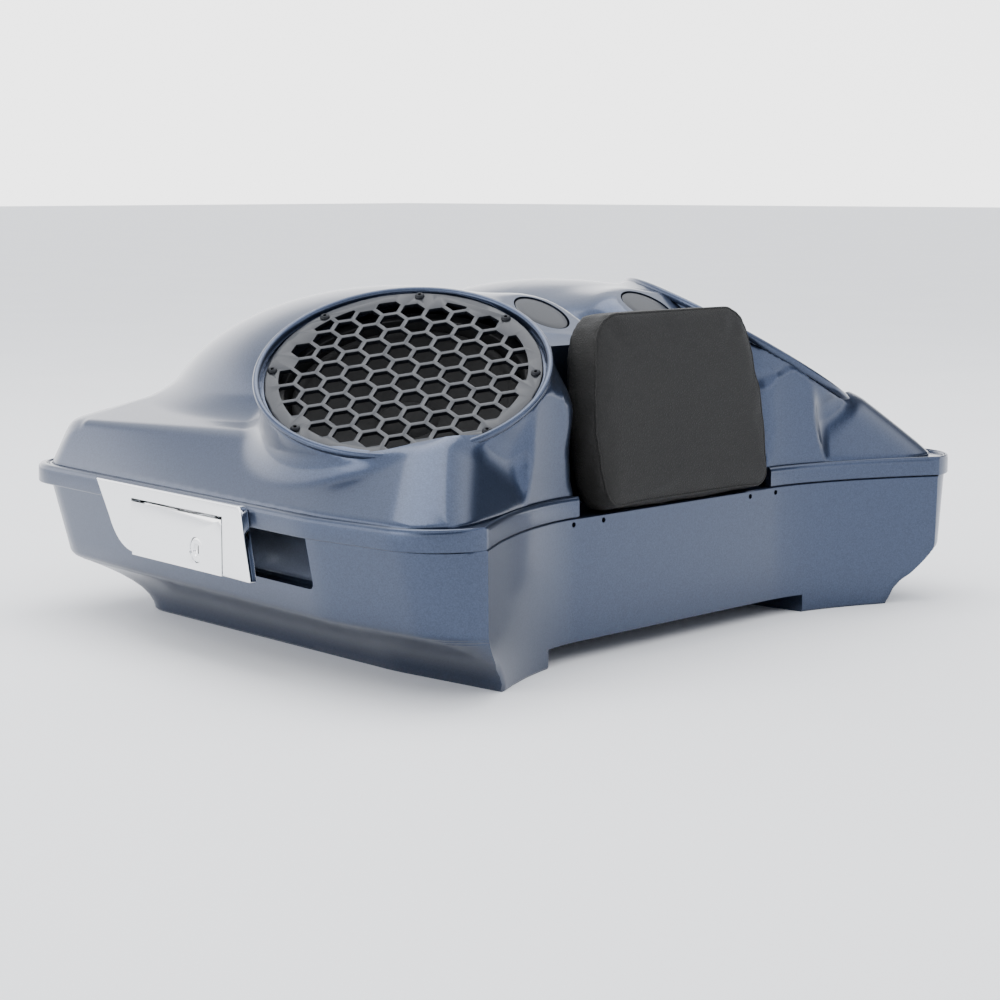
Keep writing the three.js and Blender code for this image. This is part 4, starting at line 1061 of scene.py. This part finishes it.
# ---- Latch --------------------------------------------------------------------------
# A die-cast, chromed cover screwed to the lid, with a paddle that is pulled out from
# below and a key lock in it. The catch behind it hooks under a striker on the tub.


def chrome_plate():
    """Bright chromium over polished zinc casting: a near-white mirror, very slightly
    softened by polishing haze."""
    material, tree, shader, place = new_material("bright chrome plate")
    # polishing haze in patches of about 20 mm
    haze = add(tree, "ShaderNodeTexNoise", Vector=place, Scale=1 / 0.02, Detail=3)
    rough = add(tree, "ShaderNodeMapRange", Value=haze.outputs["Fac"], To_Min=0.03, To_Max=0.1)
    fed(tree, shader, Roughness=rough.outputs["Result"], Base_Color=linear("f6f7f8"), Metallic=1)
    return material


chrome = chrome_plate()
rounded("latch_cover", "latch_bezel", 1.3, chrome, "lid", "chrome", 4, 50)
rounded("latch_paddle", "pull_paddle", 0.7, chrome, "paddle", "chrome", 3, 50)
LOCK_U, LOCK_Z = 35, 81
barrel = bmesh.new()
spun(barrel, [(0, -2.0), (3.6, -2.0), (3.9, -1.7), (4.1, -1.2), (4.5, -1.2), (4.8, -0.7), (8.0, -0.5),
              (8.7, -0.8), (9.0, -1.4), (9.0, -12), (0, -12)], side_place(LOCK_U, LOCK_Z, 0), 64)
key_lock = worked(solid(barrel, "key_lock"), "DIFFERENCE",
                  side_block((LOCK_U - 0.7, LOCK_U + 0.7), (LOCK_Z - 3.1, LOCK_Z + 3.1), (-5, 2)))
tongue = side_block((LOCK_U - 3, LOCK_U + 3), (LOCK_Z - 2, LOCK_Z + 11), (-13.9, -11), bevel=0.4)
worked(key_lock, "UNION", tongue)
dressed(key_lock, chrome, "lock", "chrome", "lock_cylinder", angle=30)
for node, name, body in (("latch_base", "latch_backplate", "lid"), ("latch_catch", "hook_catch", "catch"),
                         ("striker", "striker_plate", "tub")):
    rounded(node, name, 0.35, zinc, body, "steel")
for node in ("paddle_pin", "catch_pin", "catch_spring"):
    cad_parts[node].data.materials.clear()
    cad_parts[node].data.materials.append(zinc)

# ---- Hinges -------------------------------------------------------------------------
# Two chromed hinges on the side away from the latch. Each has a leaf on the tub, a leaf
# on the lid between its knuckles, and a plated pin through both.

for i in (1, 2):
    for body in ("tub", "lid"):
        rounded(f"hinge_{i}_{body}_leaf", f"{body}_leaf_{i}", 0.35, chrome, body, "chrome")
    rounded(f"hinge_{i}_pin", f"pin_{i}", 0.4, zinc, "tub", "steel")

# ---- Seal and mat -------------------------------------------------------------------
# An extruded EPDM seal lies on the lip of the tub all the way round. A ribbed rubber
# mat covers the floor and lets the four mounting bolts through.


def epdm(name, ribs):
    """Extruded EPDM rubber: matt black with a fine bloom; the mat has pressed ribs."""
    material, tree, shader, place = new_material(name)
    # bloom in patches of about 15 mm
    bloom = add(tree, "ShaderNodeTexNoise", Vector=place, Scale=1 / 0.015, Detail=4)
    tone = add(tree, "ShaderNodeValToRGB", {"stops": [(0, "131314"), (1, "232325")]},
               Fac=bloom.outputs["Fac"])
    if ribs:
        # broad, low ribs about 25 mm apart
        wave = add(tree, "ShaderNodeTexWave", {"bands_direction": "X", "wave_profile": "SIN"},
                   Vector=place, Scale=12.5)
        bump = add(tree, "ShaderNodeBump", Height=wave.outputs["Fac"], Strength=0.6, Distance=0.001)
        tree.links.new(bump.outputs["Normal"], shader.inputs["Normal"])
    fed(tree, shader, Base_Color=tone.outputs["Color"], Roughness=0.8)
    return material


seal = evened(from_cad("tub_seal", "lip_seal", 0), 1.3)
dressed(seal, epdm("extruded EPDM", False), "tub", "rubber", "tub_seal", angle=50)
rounded("floor_mat", "ribbed_mat", 0, epdm("ribbed rubber mat", True), "tub", "rubber")

# ---- Rack mounting ------------------------------------------------------------------
# A steel plate under the floor spreads the load of four M8 bolts that hold the trunk on
# its rack. Their heads stand inside on the floor and their nuts below the plate.

rounded("mount_plate", "rack_plate", 0.6, zinc, "tub", "steel")
for i, (x, y) in enumerate(BOLT_SPOTS):
    bolt = bmesh.new()
    here = Matrix.Translation((x * MM, y * MM, 0))
    spun(bolt, [(0, 3), (3.4, 3), (4, 3.8), (4, 18.3), (7, 18.3), (7, 19.6), (6.4, 21), (4.6, 22),
                (3, 22.3), (3, 20), (0, 20)], here, 40)
    dressed(solid(bolt, f"rack_bolt_{i + 1}"), zinc, "tub", "steel", f"mount_bolt_{i + 1}", angle=35)
    rounded(f"mount_nut_{i + 1}", f"rack_nut_{i + 1}", 0.5, zinc, "tub", "steel")
